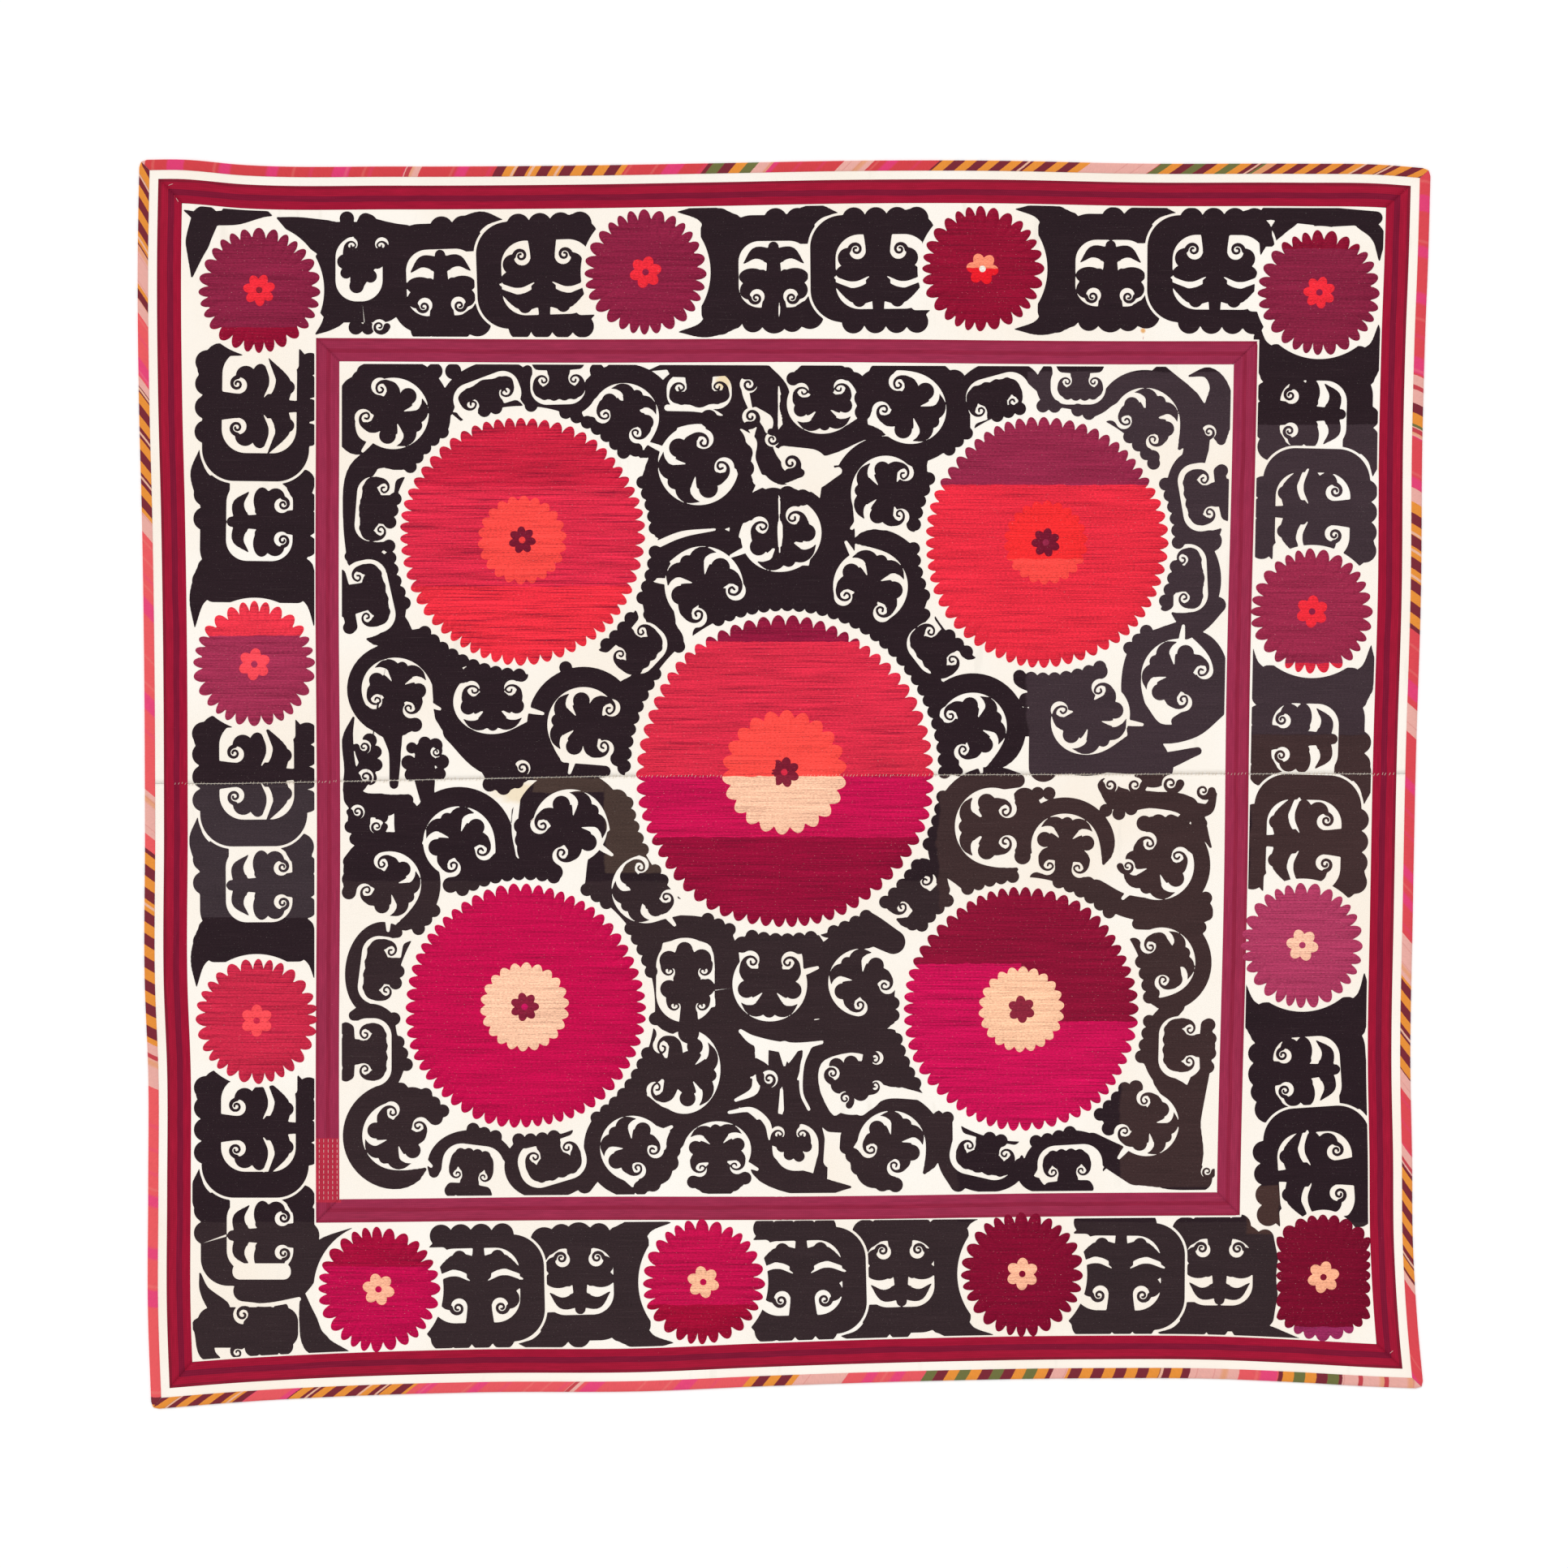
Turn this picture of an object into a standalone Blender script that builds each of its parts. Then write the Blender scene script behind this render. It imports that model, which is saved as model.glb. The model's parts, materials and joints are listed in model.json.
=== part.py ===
"""A large, nearly square suzani lying flat, face up: an embroidered cotton cloth with an ikat binding.

The cotton ground is two loom widths, joined by a seam that runs from side to side a little above the
middle. Four folded strips of ikat wrap the edges and meet in mitres at the corners. The embroidery that
stands out most, which is seventeen scalloped rosettes and two frame bands, is raised in the top faces.

Units are metres, +Z is up and +Y is the top of the pattern. The origin is under the middle of the cloth.
"""

import math
from typing import NamedTuple

import bmesh
import bpy
import numpy as np
from mathutils.geometry import delaunay_2d_cdt

# Thicknesses, and the clearance between pieces that touch on the real cloth.
CLOTH_THICK = 0.0010
LEAF_THICK = 0.0007
CLEARANCE = 0.0003
STITCH_RELIEF = 0.0006
STITCH_SLOPE = 0.0010

# The binding is a strip folded over the edge. The cloth's rim rises over its lower leaf.
BINDING_WIDTH = 0.0168
RIM_RISE = LEAF_THICK + CLEARANCE
CLOTH_INSET = LEAF_THICK + 0.0005
RIM_LEVEL_DEPTH = BINDING_WIDTH + 0.0012
RIM_FOOT_DEPTH = 0.0295
MITRE_GAP = 0.00022
FOLD_BEND = 0.0011
FOLD_CORNER = 0.0006
LEAF_CORNER = 0.0003

# How far the frame bands lie from the edge, and the inner band's own corners.
OUTER_BAND_DEPTH = 0.031
OUTER_BAND_WIDTH = 0.039
INNER_BAND_WIDTH = 0.038
BETWEEN_BANDS_DEPTH = 0.11
STEPS_ALONG_SIDE = 18
CORNER_STEPS = (0.0, 0.0035, 0.009)
CORNER_EAR = 0.003
CORNER_EAR_RUN = 0.009


class Corners(NamedTuple):
    """The four corners of a four-sided outline, each as (x, y)."""

    bottom_left: tuple
    bottom_right: tuple
    top_right: tuple
    top_left: tuple


CLOTH_CORNERS = Corners((-1.0256, -1.0146), (1.0369, -0.9810), (1.0486, 0.9968), (-1.0451, 1.0108))
INNER_BAND_CORNERS = Corners((-0.7610, -0.7135), (0.7412, -0.7016), (0.7702, 0.7201), (-0.7610, 0.7253))


class Bow(NamedTuple):
    """One station of a side: the share of the way along it, and how far it bows outwards there."""

    along: float
    out: float


BOTTOM_BOWS = (
    Bow(0.0, 0.0), Bow(0.07, -0.0095), Bow(0.14, -0.0153), Bow(0.26, -0.0188), Bow(0.39, -0.0162),
    Bow(0.48, -0.0211), Bow(0.61, -0.0254), Bow(0.74, -0.0254), Bow(0.84, -0.0210), Bow(0.90, -0.0137),
    Bow(0.965, -0.0040), Bow(1.0, 0.0),
)
TOP_BOWS = (
    Bow(0.0, 0.0), Bow(0.03, 0.0010), Bow(0.08, -0.0072), Bow(0.20, -0.0080), Bow(0.33, -0.0048),
    Bow(0.45, 0.0010), Bow(0.55, 0.0062), Bow(0.66, 0.0080), Bow(0.78, 0.0048), Bow(0.90, 0.0064),
    Bow(0.96, 0.0058), Bow(1.0, 0.0),
)
LEFT_BOWS = (
    Bow(0.0, 0.0), Bow(0.08, 0.0040), Bow(0.17, 0.0018), Bow(0.27, -0.0002), Bow(0.34, 0.0040),
    Bow(0.46, 0.0013), Bow(0.60, 0.0), Bow(0.72, 0.0015), Bow(0.80, 0.0042), Bow(0.92, 0.0042),
    Bow(1.0, 0.0),
)
RIGHT_BOWS = (
    Bow(0.0, 0.0), Bow(0.05, -0.0099), Bow(0.12, -0.0186), Bow(0.19, -0.0207), Bow(0.26, -0.0242),
    Bow(0.39, -0.0218), Bow(0.52, -0.0181), Bow(0.65, -0.0117), Bow(0.78, -0.0107), Bow(0.86, -0.0075),
    Bow(0.93, -0.0030), Bow(1.0, 0.0),
)


class SeamStation(NamedTuple):
    """One station of the seam between the two loom widths."""

    x: float
    y: float


SEAM = (
    SeamStation(-1.2, 0.0), SeamStation(-0.90, 0.0007), SeamStation(-0.30, 0.0125),
    SeamStation(0.30, 0.0150), SeamStation(0.70, 0.0165), SeamStation(1.2, 0.0165),
)


class Rosette(NamedTuple):
    """A scalloped disc of embroidery: its centre, half sizes, number of petals and depth of its notches."""

    x: float
    y: float
    half_width: float
    half_height: float
    petals: int
    notch: float


FIELD_NOTCH = 0.0125
BORDER_NOTCH = 0.0150
BORDER_HALF_WIDTH = 0.1003
BORDER_HALF_HEIGHT = 0.1030
BORDER_PETALS = 28
FIELD_ROSETTES = (
    Rosette(-0.4257, 0.3967, 0.2010, 0.2035, 60, FIELD_NOTCH),
    Rosette(0.4257, 0.3927, 0.1995, 0.2060, 60, FIELD_NOTCH),
    Rosette(0.0007, 0.0185, 0.2445, 0.2565, 66, FIELD_NOTCH),
    Rosette(-0.4217, -0.3623, 0.1975, 0.2005, 60, FIELD_NOTCH),
    Rosette(0.3861, -0.3663, 0.1930, 0.2005, 58, FIELD_NOTCH),
)
BORDER_CENTRES = (
    (-0.8534, 0.8032), (-0.2251, 0.8323), (0.3227, 0.8375), (0.8705, 0.7993), (0.8587, 0.2805),
    (0.8428, -0.2620), (0.8705, -0.8006), (0.3874, -0.7966), (-0.1313, -0.8098), (-0.6593, -0.8217),
    (-0.8573, -0.3848), (-0.8613, 0.1947),
)


class Finish(NamedTuple):
    """A material: its linear colour and its roughness. Nothing here is metal."""

    name: str
    colour: tuple
    roughness: float


COTTON = Finish("cream_cotton", (0.91, 0.84, 0.72, 1.0), 0.9)
CRIMSON = Finish("crimson_thread", (0.45, 0.018, 0.05, 1.0), 0.6)
BORDER_PLUM = Finish("plum_thread", (0.18, 0.02, 0.06, 1.0), 0.6)
WINE = Finish("wine_thread", (0.25, 0.010, 0.032, 1.0), 0.6)
IKATS = (
    Finish("ikat_top", (0.62, 0.06, 0.09, 1.0), 0.5),
    Finish("ikat_right", (0.60, 0.09, 0.13, 1.0), 0.5),
    Finish("ikat_bottom", (0.62, 0.18, 0.10, 1.0), 0.5),
    Finish("ikat_left", (0.60, 0.24, 0.09, 1.0), 0.5),
)


def clear_scene():
    for obj in list(bpy.data.objects):
        bpy.data.objects.remove(obj, do_unlink=True)


def material_of(finish):
    material = bpy.data.materials.new(finish.name)
    material.use_nodes = True
    shader = material.node_tree.nodes["Principled BSDF"]
    shader.inputs["Base Color"].default_value = finish.colour
    shader.inputs["Roughness"].default_value = finish.roughness
    shader.inputs["Metallic"].default_value = 0.0
    material.diffuse_color = finish.colour
    return material


def smooth_through(stations, values, where):
    """A cubic Hermite curve through the stations, with slopes from their neighbours."""
    slopes = np.gradient(values, stations)
    left = np.clip(np.searchsorted(stations, where, side="right") - 1, 0, len(stations) - 2)
    span = stations[left + 1] - stations[left]
    t = (where - stations[left]) / span
    rise = 3 * t**2 - 2 * t**3
    return (
        values[left] * (1 - rise)
        + values[left + 1] * rise
        + span * slopes[left] * (t**3 - 2 * t**2 + t)
        + span * slopes[left + 1] * (t**3 - t**2)
    )


class Side:
    """One edge of the cloth: a straight chord between two corners, plus its bow and its two ears."""

    def __init__(self, start, end, bows, outward_sign):
        self.start = np.array(start)
        self.end = np.array(end)
        chord = self.end - self.start
        self.length = float(np.hypot(*chord))
        self.outward = outward_sign * np.array((chord[1], -chord[0])) / self.length
        self.stations = np.array([bow.along for bow in bows])
        self.bows = np.array([bow.out for bow in bows])

    def at(self, share):
        bow = smooth_through(self.stations, self.bows, share)
        from_end = np.minimum(share, 1 - share) * self.length
        ear = CORNER_EAR * np.clip(from_end / CORNER_EAR_RUN, 0, 1)
        straight = self.start + np.outer(share, self.end - self.start)
        return straight + np.outer(bow + ear, self.outward)


class Cloth:
    """The cloth's own coordinates: u runs from the left edge to the right one, v from bottom to top."""

    def __init__(self, corners):
        self.corners = [np.array(corner) for corner in corners]
        bottom_left, bottom_right, top_right, top_left = corners
        self.bottom = Side(bottom_left, bottom_right, BOTTOM_BOWS, 1)
        self.top = Side(top_left, top_right, TOP_BOWS, -1)
        self.left = Side(bottom_left, top_left, LEFT_BOWS, -1)
        self.right = Side(bottom_right, top_right, RIGHT_BOWS, 1)
        self.width = (self.bottom.length + self.top.length) / 2
        self.height = (self.left.length + self.right.length) / 2

    def at(self, u, v):
        """A Coons patch: the four edges are met exactly, and their bows fade towards the far side."""
        bottom_left, bottom_right, top_right, top_left = self.corners
        u_column = u[:, None]
        v_column = v[:, None]
        across = (1 - v_column) * self.bottom.at(u) + v_column * self.top.at(u)
        upwards = (1 - u_column) * self.left.at(v) + u_column * self.right.at(v)
        low = (1 - u_column) * bottom_left + u_column * bottom_right
        high = (1 - u_column) * top_left + u_column * top_right
        return across + upwards - ((1 - v_column) * low + v_column * high)

    def along_side(self, name, depth, shares, cut_back=0.0):
        """Points at this depth inside one side, between the mitres at its two ends, left to right or up."""
        u_in = depth / self.width
        v_in = depth / self.height
        if name in ("bottom", "top"):
            start = u_in + cut_back / self.width
            u = start + shares * (1 - 2 * start)
            v = np.full(len(u), v_in if name == "bottom" else 1 - v_in)
        else:
            start = v_in + cut_back / self.height
            v = start + shares * (1 - 2 * start)
            u = np.full(len(v), u_in if name == "left" else 1 - u_in)
        return self.at(u, v)

    def ring(self, depth):
        """The closed loop at this depth inside the edge, anticlockwise from the bottom left corner."""
        shares = side_shares()[:-1]
        return np.concatenate(
            (
                self.along_side("bottom", depth, shares),
                self.along_side("right", depth, shares),
                self.along_side("top", depth, 1 - shares),
                self.along_side("left", depth, 1 - shares),
            )
        )


def side_shares():
    """Shares of a side where it has a row of points: close together in its ears, even between them."""
    near = np.array(CORNER_STEPS) / 2.0
    between = np.linspace(near[-1], 1 - near[-1], STEPS_ALONG_SIDE + 1)[1:-1]
    return np.concatenate((near, between, (1 - near)[::-1]))


def centred(corners):
    """The corners, moved so that the middle of the cloth's box is exactly over the origin."""
    outline = Cloth(corners).ring(0.0)
    middle = (outline.min(axis=0) + outline.max(axis=0)) / 2
    return Corners(*(tuple(np.array(corner) - middle) for corner in corners))


def inset_corners(corners, depth):
    """A four-sided loop this far inside the given corners, kept parallel to its sides."""
    points = np.array(corners)
    to_next = np.roll(points, -1, axis=0) - points
    to_next /= np.linalg.norm(to_next, axis=1)[:, None]
    from_last = np.roll(to_next, 1, axis=0)
    inward_next = np.stack((-to_next[:, 1], to_next[:, 0]), axis=1)
    inward_last = np.stack((-from_last[:, 1], from_last[:, 0]), axis=1)
    share = 1 + (inward_next * inward_last).sum(axis=1)
    return points + depth * (inward_next + inward_last) / share[:, None]


def rosette_loop(rosette, inside):
    """A scalloped outline, drawn in by the given amount: each petal has a notch and two shoulders."""
    step = 2 * math.pi / rosette.petals
    notches = np.arange(rosette.petals) * step
    angles = (notches[:, None] + np.array((0.0, 0.3, 0.7)) * step).ravel()
    depths = np.tile((rosette.notch, 0.0, 0.0), rosette.petals) + inside
    return np.stack(
        (
            rosette.x + (rosette.half_width - depths) * np.cos(angles),
            rosette.y + (rosette.half_height - depths) * np.sin(angles),
        ),
        axis=1,
    )


class Plan:
    """The loops that the cloth's faces follow, seen from above, each with its rim rise and its relief."""

    def __init__(self):
        self.points = []
        self.edges = []
        self.rise = []
        self.relief = []

    def add(self, points, rise=0.0, relief=0.0, closed=True):
        first = len(self.points)
        count = len(points)
        self.points += [tuple(map(float, point)) for point in points]
        last = count if closed else count - 1
        added = [(first + i, first + (i + 1) % count) for i in range(last)]
        self.edges += added
        self.rise += [rise] * len(added)
        self.relief += [relief] * len(added)

    def add_raised(self, low, high):
        """A loop at the foot of a raised shape and one at its top."""
        self.add(low)
        self.add(high, relief=STITCH_RELIEF)


def triangulate(points, edges):
    """A constrained Delaunay triangulation: points, triangles facing up, and where each came from."""
    found = delaunay_2d_cdt(points, edges, [], 1, 1e-6)
    spots = np.array([tuple(point) for point in found[0]])
    faces = np.array([tuple(face) for face in found[2]])
    a, b, c = (spots[faces[:, k]] for k in range(3))
    turn = (b[:, 0] - a[:, 0]) * (c[:, 1] - a[:, 1]) - (b[:, 1] - a[:, 1]) * (c[:, 0] - a[:, 0])
    faces[turn < 0] = faces[turn < 0][:, ::-1]
    return spots, faces, found[1], found[3], found[4]


def seam_height(x):
    return np.interp(x, [station.x for station in SEAM], [station.y for station in SEAM])


def whole_plan(cloth, inner_corners, rosettes):
    plan = Plan()
    plan.add(cloth.ring(CLOTH_INSET), rise=RIM_RISE)
    plan.add(cloth.ring(RIM_LEVEL_DEPTH), rise=RIM_RISE)
    plan.add(cloth.ring(RIM_FOOT_DEPTH))
    near = OUTER_BAND_DEPTH
    far = OUTER_BAND_DEPTH + OUTER_BAND_WIDTH
    plan.add_raised(cloth.ring(near), cloth.ring(near + STITCH_SLOPE))
    plan.add_raised(cloth.ring(far), cloth.ring(far - STITCH_SLOPE))
    high = inset_corners(inner_corners, STITCH_SLOPE)
    plan.add_raised(inner_corners, high)
    high = inset_corners(inner_corners, INNER_BAND_WIDTH - STITCH_SLOPE)
    plan.add_raised(inset_corners(inner_corners, INNER_BAND_WIDTH), high)
    for rosette in rosettes:
        plan.add_raised(rosette_loop(rosette, 0.0), rosette_loop(rosette, STITCH_SLOPE))
    for side in (CLEARANCE / 2, -CLEARANCE / 2):
        plan.add([(station.x, station.y + side) for station in SEAM], closed=False)
    return plan


def heights_of(plan, count, edges, edge_sources):
    """Each point's rim rise and relief: the highest of the loops that run through it."""
    rise = np.zeros(count)
    relief = np.zeros(count)
    for edge, sources in zip(edges, edge_sources):
        for source in sources:
            for point in edge:
                rise[point] = max(rise[point], plan.rise[source])
                relief[point] = max(relief[point], plan.relief[source])
    return rise, relief


def finish_of_faces(spots, faces, relief, cloth, rosettes):
    """0 for bare cotton, 1 for a rosette, 2 for the inner band and 3 for the outer band."""
    middles = spots[faces].mean(axis=1)
    kinds = np.zeros(len(faces), dtype=int)
    raised = relief[faces].max(axis=1) > 0
    between_bands = min(cloth.width, cloth.height) / 2 - BETWEEN_BANDS_DEPTH
    on_outer = np.abs(middles).max(axis=1) > between_bands
    kinds[raised] = 2
    for rosette in rosettes:
        across = (middles[:, 0] - rosette.x) / rosette.half_width
        upwards = (middles[:, 1] - rosette.y) / rosette.half_height
        kinds[raised & (np.hypot(across, upwards) < 1)] = 1
    kinds[raised & on_outer & (kinds != 1)] = 3
    return kinds


def boundary_of(faces):
    """The directed edges of these triangles that no other of them shares."""
    directed = {(int(face[k]), int(face[(k + 1) % 3])) for face in faces for k in range(3)}
    return sorted(edge for edge in directed if (edge[1], edge[0]) not in directed)


def sheet_from_plan(name, spots, faces, kinds, rise, relief, rim_edges, finishes):
    """A closed sheet: the planned top, a plain underside on the same outline, and a wall between them."""
    boundary = boundary_of(faces)
    used = {point for face in faces.tolist() for point in face}
    kept = sorted({p for edge in boundary for p in edge} | {p for edge in rim_edges for p in edge} & used)
    index = {point: i for i, point in enumerate(kept)}
    limits = [(index[a], index[b]) for a, b in boundary]
    limits += [(index[a], index[b]) for a, b in rim_edges if a in used and b in used]
    under_spots, under_faces, _, under_sources, _ = triangulate([tuple(spots[p]) for p in kept], limits)
    under_of = {kept[source]: i for i, sources in enumerate(under_sources) for source in sources}
    above_of = {i: point for point, i in under_of.items()}

    mesh = bpy.data.meshes.new(name)
    build = bmesh.new()
    top = {
        point: build.verts.new((*spots[point], rise[point] + CLOTH_THICK + relief[point]))
        for point in sorted(used)
    }
    under = [build.verts.new((*spot, rise[above_of[i]])) for i, spot in enumerate(under_spots)]
    for face, kind in zip(faces.tolist(), kinds.tolist()):
        build.faces.new([top[point] for point in face]).material_index = kind
    for face in under_faces.tolist():
        build.faces.new([under[point] for point in reversed(face)])
    for a, b in boundary:
        build.faces.new((top[b], top[a], under[under_of[a]], under[under_of[b]]))
    build.to_mesh(mesh)
    build.free()
    for finish in finishes:
        mesh.materials.append(finish)
    sheet = bpy.data.objects.new(name, mesh)
    bpy.context.scene.collection.objects.link(sheet)
    return sheet


def make_panels(cloth, inner_corners, rosettes):
    """The two loom widths, cut from one plan along the seam."""
    plan = whole_plan(cloth, inner_corners, rosettes)
    spots, faces, edges, _, edge_sources = triangulate(plan.points, plan.edges)
    rise, relief = heights_of(plan, len(spots), edges, edge_sources)
    kinds = finish_of_faces(spots, faces, relief, cloth, rosettes)
    ring_size = len(cloth.ring(0.0))
    rim_sources = set(range(ring_size, 3 * ring_size))
    rim_edges = [tuple(edge) for edge, sources in zip(edges, edge_sources) if rim_sources & set(sources)]
    middles = spots[faces].mean(axis=1)
    above_seam = middles[:, 1] - seam_height(middles[:, 0])
    finishes = [material_of(finish) for finish in (COTTON, CRIMSON, BORDER_PLUM, WINE)]
    halves = (("panel_upper", above_seam > CLEARANCE / 2), ("panel_lower", above_seam < -CLEARANCE / 2))
    for name, chosen in halves:
        sheet_from_plan(name, spots, faces[chosen], kinds[chosen], rise, relief, rim_edges, finishes)


def binding_profile():
    """The folded strip in section, as (depth inside the fold, height), round the whole outline.

    The lower leaf lies on the surface, the fold is round outside, and the upper leaf lies on the cloth.
    """
    top = 2 * LEAF_THICK + 2 * CLEARANCE + CLOTH_THICK
    half = top / 2
    return (
        (BINDING_WIDTH, 0.0),
        (FOLD_BEND, 0.0),
        (LEAF_CORNER, FOLD_CORNER),
        (0.0, half),
        (LEAF_CORNER, top - FOLD_CORNER),
        (FOLD_BEND, top),
        (BINDING_WIDTH - FOLD_CORNER, top),
        (BINDING_WIDTH, top - LEAF_CORNER),
        (BINDING_WIDTH, top - LEAF_THICK),
        (LEAF_THICK + LEAF_CORNER, top - LEAF_THICK),
        (LEAF_THICK, half),
        (LEAF_THICK + LEAF_CORNER, LEAF_THICK),
        (BINDING_WIDTH, LEAF_THICK),
    )


def make_binding(name, cloth, side, finish):
    """One folded strip: its section carried along a side, with a mitre at both ends."""
    shares = side_shares()
    rows = []
    for depth, height in binding_profile():
        line = cloth.along_side(side, depth, shares, cut_back=MITRE_GAP)
        rows.append(np.column_stack((line, np.full(len(line), height))))
    grid = np.array(rows)
    around, along = grid.shape[:2]
    build = bmesh.new()
    verts = [[build.verts.new(grid[i, j]) for j in range(along)] for i in range(around)]
    for i in range(around):
        after = (i + 1) % around
        for j in range(along - 1):
            build.faces.new((verts[i][j], verts[i][j + 1], verts[after][j + 1], verts[after][j]))
    build.faces.new([verts[i][0] for i in range(around)])
    build.faces.new([verts[i][-1] for i in reversed(range(around))])
    bmesh.ops.recalc_face_normals(build, faces=build.faces)
    mesh = bpy.data.meshes.new(name)
    build.to_mesh(mesh)
    build.free()
    mesh.materials.append(material_of(finish))
    mesh.shade_smooth()
    mesh.set_sharp_from_angle(angle=math.radians(50))
    strip = bpy.data.objects.new(name, mesh)
    bpy.context.scene.collection.objects.link(strip)


def main():
    clear_scene()
    cloth = Cloth(centred(CLOTH_CORNERS))
    border = [
        Rosette(x, y, BORDER_HALF_WIDTH, BORDER_HALF_HEIGHT, BORDER_PETALS, BORDER_NOTCH)
        for x, y in BORDER_CENTRES
    ]
    make_panels(cloth, INNER_BAND_CORNERS, list(FIELD_ROSETTES) + border)
    for side, finish in zip(("top", "right", "bottom", "left"), IKATS):
        make_binding(f"binding_{side}", cloth, side, finish)


main()
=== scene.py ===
# %% [markdown]
# A suzani is a bedcover or hanging of plain cotton, nearly covered with silk or cotton embroidery. This
# lesson builds one that lies flat, face up, and is looked at from straight above. The frame gives plain
# solids for its two loom widths and four edge bindings. The lesson puts finer cloth in their place and lays
# the embroidery on it: two frame bands, seventeen rosettes, and black scrollwork between them.

# %% Open the frame and keep its size
import json
import math
from typing import NamedTuple

import bmesh
import bpy
import numpy as np
from mathutils.geometry import delaunay_2d_cdt
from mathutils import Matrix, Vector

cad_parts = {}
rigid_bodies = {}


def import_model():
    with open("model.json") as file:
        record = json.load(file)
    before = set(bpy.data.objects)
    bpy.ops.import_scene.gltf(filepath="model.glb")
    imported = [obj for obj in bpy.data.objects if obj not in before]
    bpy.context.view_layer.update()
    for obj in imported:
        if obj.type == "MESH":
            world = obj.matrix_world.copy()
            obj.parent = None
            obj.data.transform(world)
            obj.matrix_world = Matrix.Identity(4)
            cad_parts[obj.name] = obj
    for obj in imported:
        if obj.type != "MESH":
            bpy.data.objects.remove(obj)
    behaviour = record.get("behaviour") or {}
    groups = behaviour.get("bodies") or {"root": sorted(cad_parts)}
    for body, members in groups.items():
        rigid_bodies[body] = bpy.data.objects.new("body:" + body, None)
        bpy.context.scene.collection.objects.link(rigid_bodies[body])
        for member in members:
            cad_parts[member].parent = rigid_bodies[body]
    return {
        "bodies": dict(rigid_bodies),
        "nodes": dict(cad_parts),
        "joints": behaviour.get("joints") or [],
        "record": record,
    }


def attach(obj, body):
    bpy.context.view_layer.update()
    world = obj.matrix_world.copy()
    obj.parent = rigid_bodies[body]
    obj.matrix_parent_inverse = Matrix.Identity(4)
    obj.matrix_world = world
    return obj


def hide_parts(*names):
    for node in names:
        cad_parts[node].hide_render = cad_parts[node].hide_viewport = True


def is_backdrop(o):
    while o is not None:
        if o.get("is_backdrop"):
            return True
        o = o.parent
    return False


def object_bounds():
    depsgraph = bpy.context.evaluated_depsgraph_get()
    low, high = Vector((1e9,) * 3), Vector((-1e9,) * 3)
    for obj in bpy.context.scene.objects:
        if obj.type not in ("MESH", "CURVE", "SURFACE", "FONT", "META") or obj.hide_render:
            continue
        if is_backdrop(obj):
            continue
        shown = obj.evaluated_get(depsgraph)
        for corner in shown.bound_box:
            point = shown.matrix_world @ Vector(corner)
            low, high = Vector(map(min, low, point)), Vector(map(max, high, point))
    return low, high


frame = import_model()
cad_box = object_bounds()
print("solids:", len(frame["nodes"]), "box:", [round(v, 4) for corner in cad_box for v in corner])

# %% [markdown]
# The photograph is taken from straight above, so one scale turns a place in it into a place on the floor.
# Places in the pattern are given in photograph pixels, with y running down, because that is how a pattern
# is read off. Everything that is built is in metres, with y running up.

# %% Pixels and metres
PHOTO_SIDE = 1932
METRES_PER_PIXEL = 0.00132
MIDDLE_PIXEL = 965.5


def metres(points):
    """Photograph pixels to metres: shifted to the middle, scaled, and y turned over."""
    points = np.asarray(points, float)
    flipped = np.array((METRES_PER_PIXEL, -METRES_PER_PIXEL))
    return (points - MIDDLE_PIXEL) * flipped


print("the frame of the photograph is", PHOTO_SIDE * METRES_PER_PIXEL, "m square")

# %% [markdown]
# Every new piece is a grid of points worked out at once with numpy, and one call hands the grid to Blender.
# A grid can be open, or closed round on itself in either direction. Thick pieces are two such sheets with a
# wall round the rim, so that they are closed solids with their faces outwards.

# %% From arrays to meshes


def mesh_object(name, points, faces, smooth=True):
    """A mesh object from an array of points and an array of triangles or four-sided faces."""
    mesh = bpy.data.meshes.new(name)
    corners = faces.shape[1]
    mesh.vertices.add(len(points))
    mesh.vertices.foreach_set("co", np.asarray(points, np.float32).ravel())
    mesh.loops.add(faces.size)
    mesh.loops.foreach_set("vertex_index", np.asarray(faces, np.int32).ravel())
    mesh.polygons.add(len(faces))
    mesh.polygons.foreach_set("loop_start", np.arange(0, faces.size, corners, dtype=np.int32))
    mesh.update(calc_edges=True)
    mesh.validate()
    mesh.polygons.foreach_set("use_smooth", np.full(len(mesh.polygons), smooth))
    obj = bpy.data.objects.new(name, mesh)
    bpy.context.scene.collection.objects.link(obj)
    return obj


def grid_faces(rows, columns, close_rows=False, close_columns=False):
    """The four-sided faces between neighbours in a grid of points."""
    row = np.arange(rows if close_rows else rows - 1)[:, None]
    column = np.arange(columns if close_columns else columns - 1)[None]
    after_row, after_column = (row + 1) % rows, (column + 1) % columns
    quad = (
        row * columns + column,
        row * columns + after_column,
        after_row * columns + after_column,
        after_row * columns + column,
    )
    return np.stack([np.broadcast_to(side, (len(row), column.shape[1])).ravel() for side in quad], axis=1)


def rim_of(rows, columns):
    """The grid's outer points in order, anticlockwise when columns run right and rows run up."""
    bottom = np.arange(columns)
    right = columns - 1 + columns * np.arange(1, rows)
    top = (rows - 1) * columns + np.arange(columns - 2, -1, -1)
    left = columns * np.arange(rows - 2, 0, -1)
    return np.concatenate((bottom, right, top, left))


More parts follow.
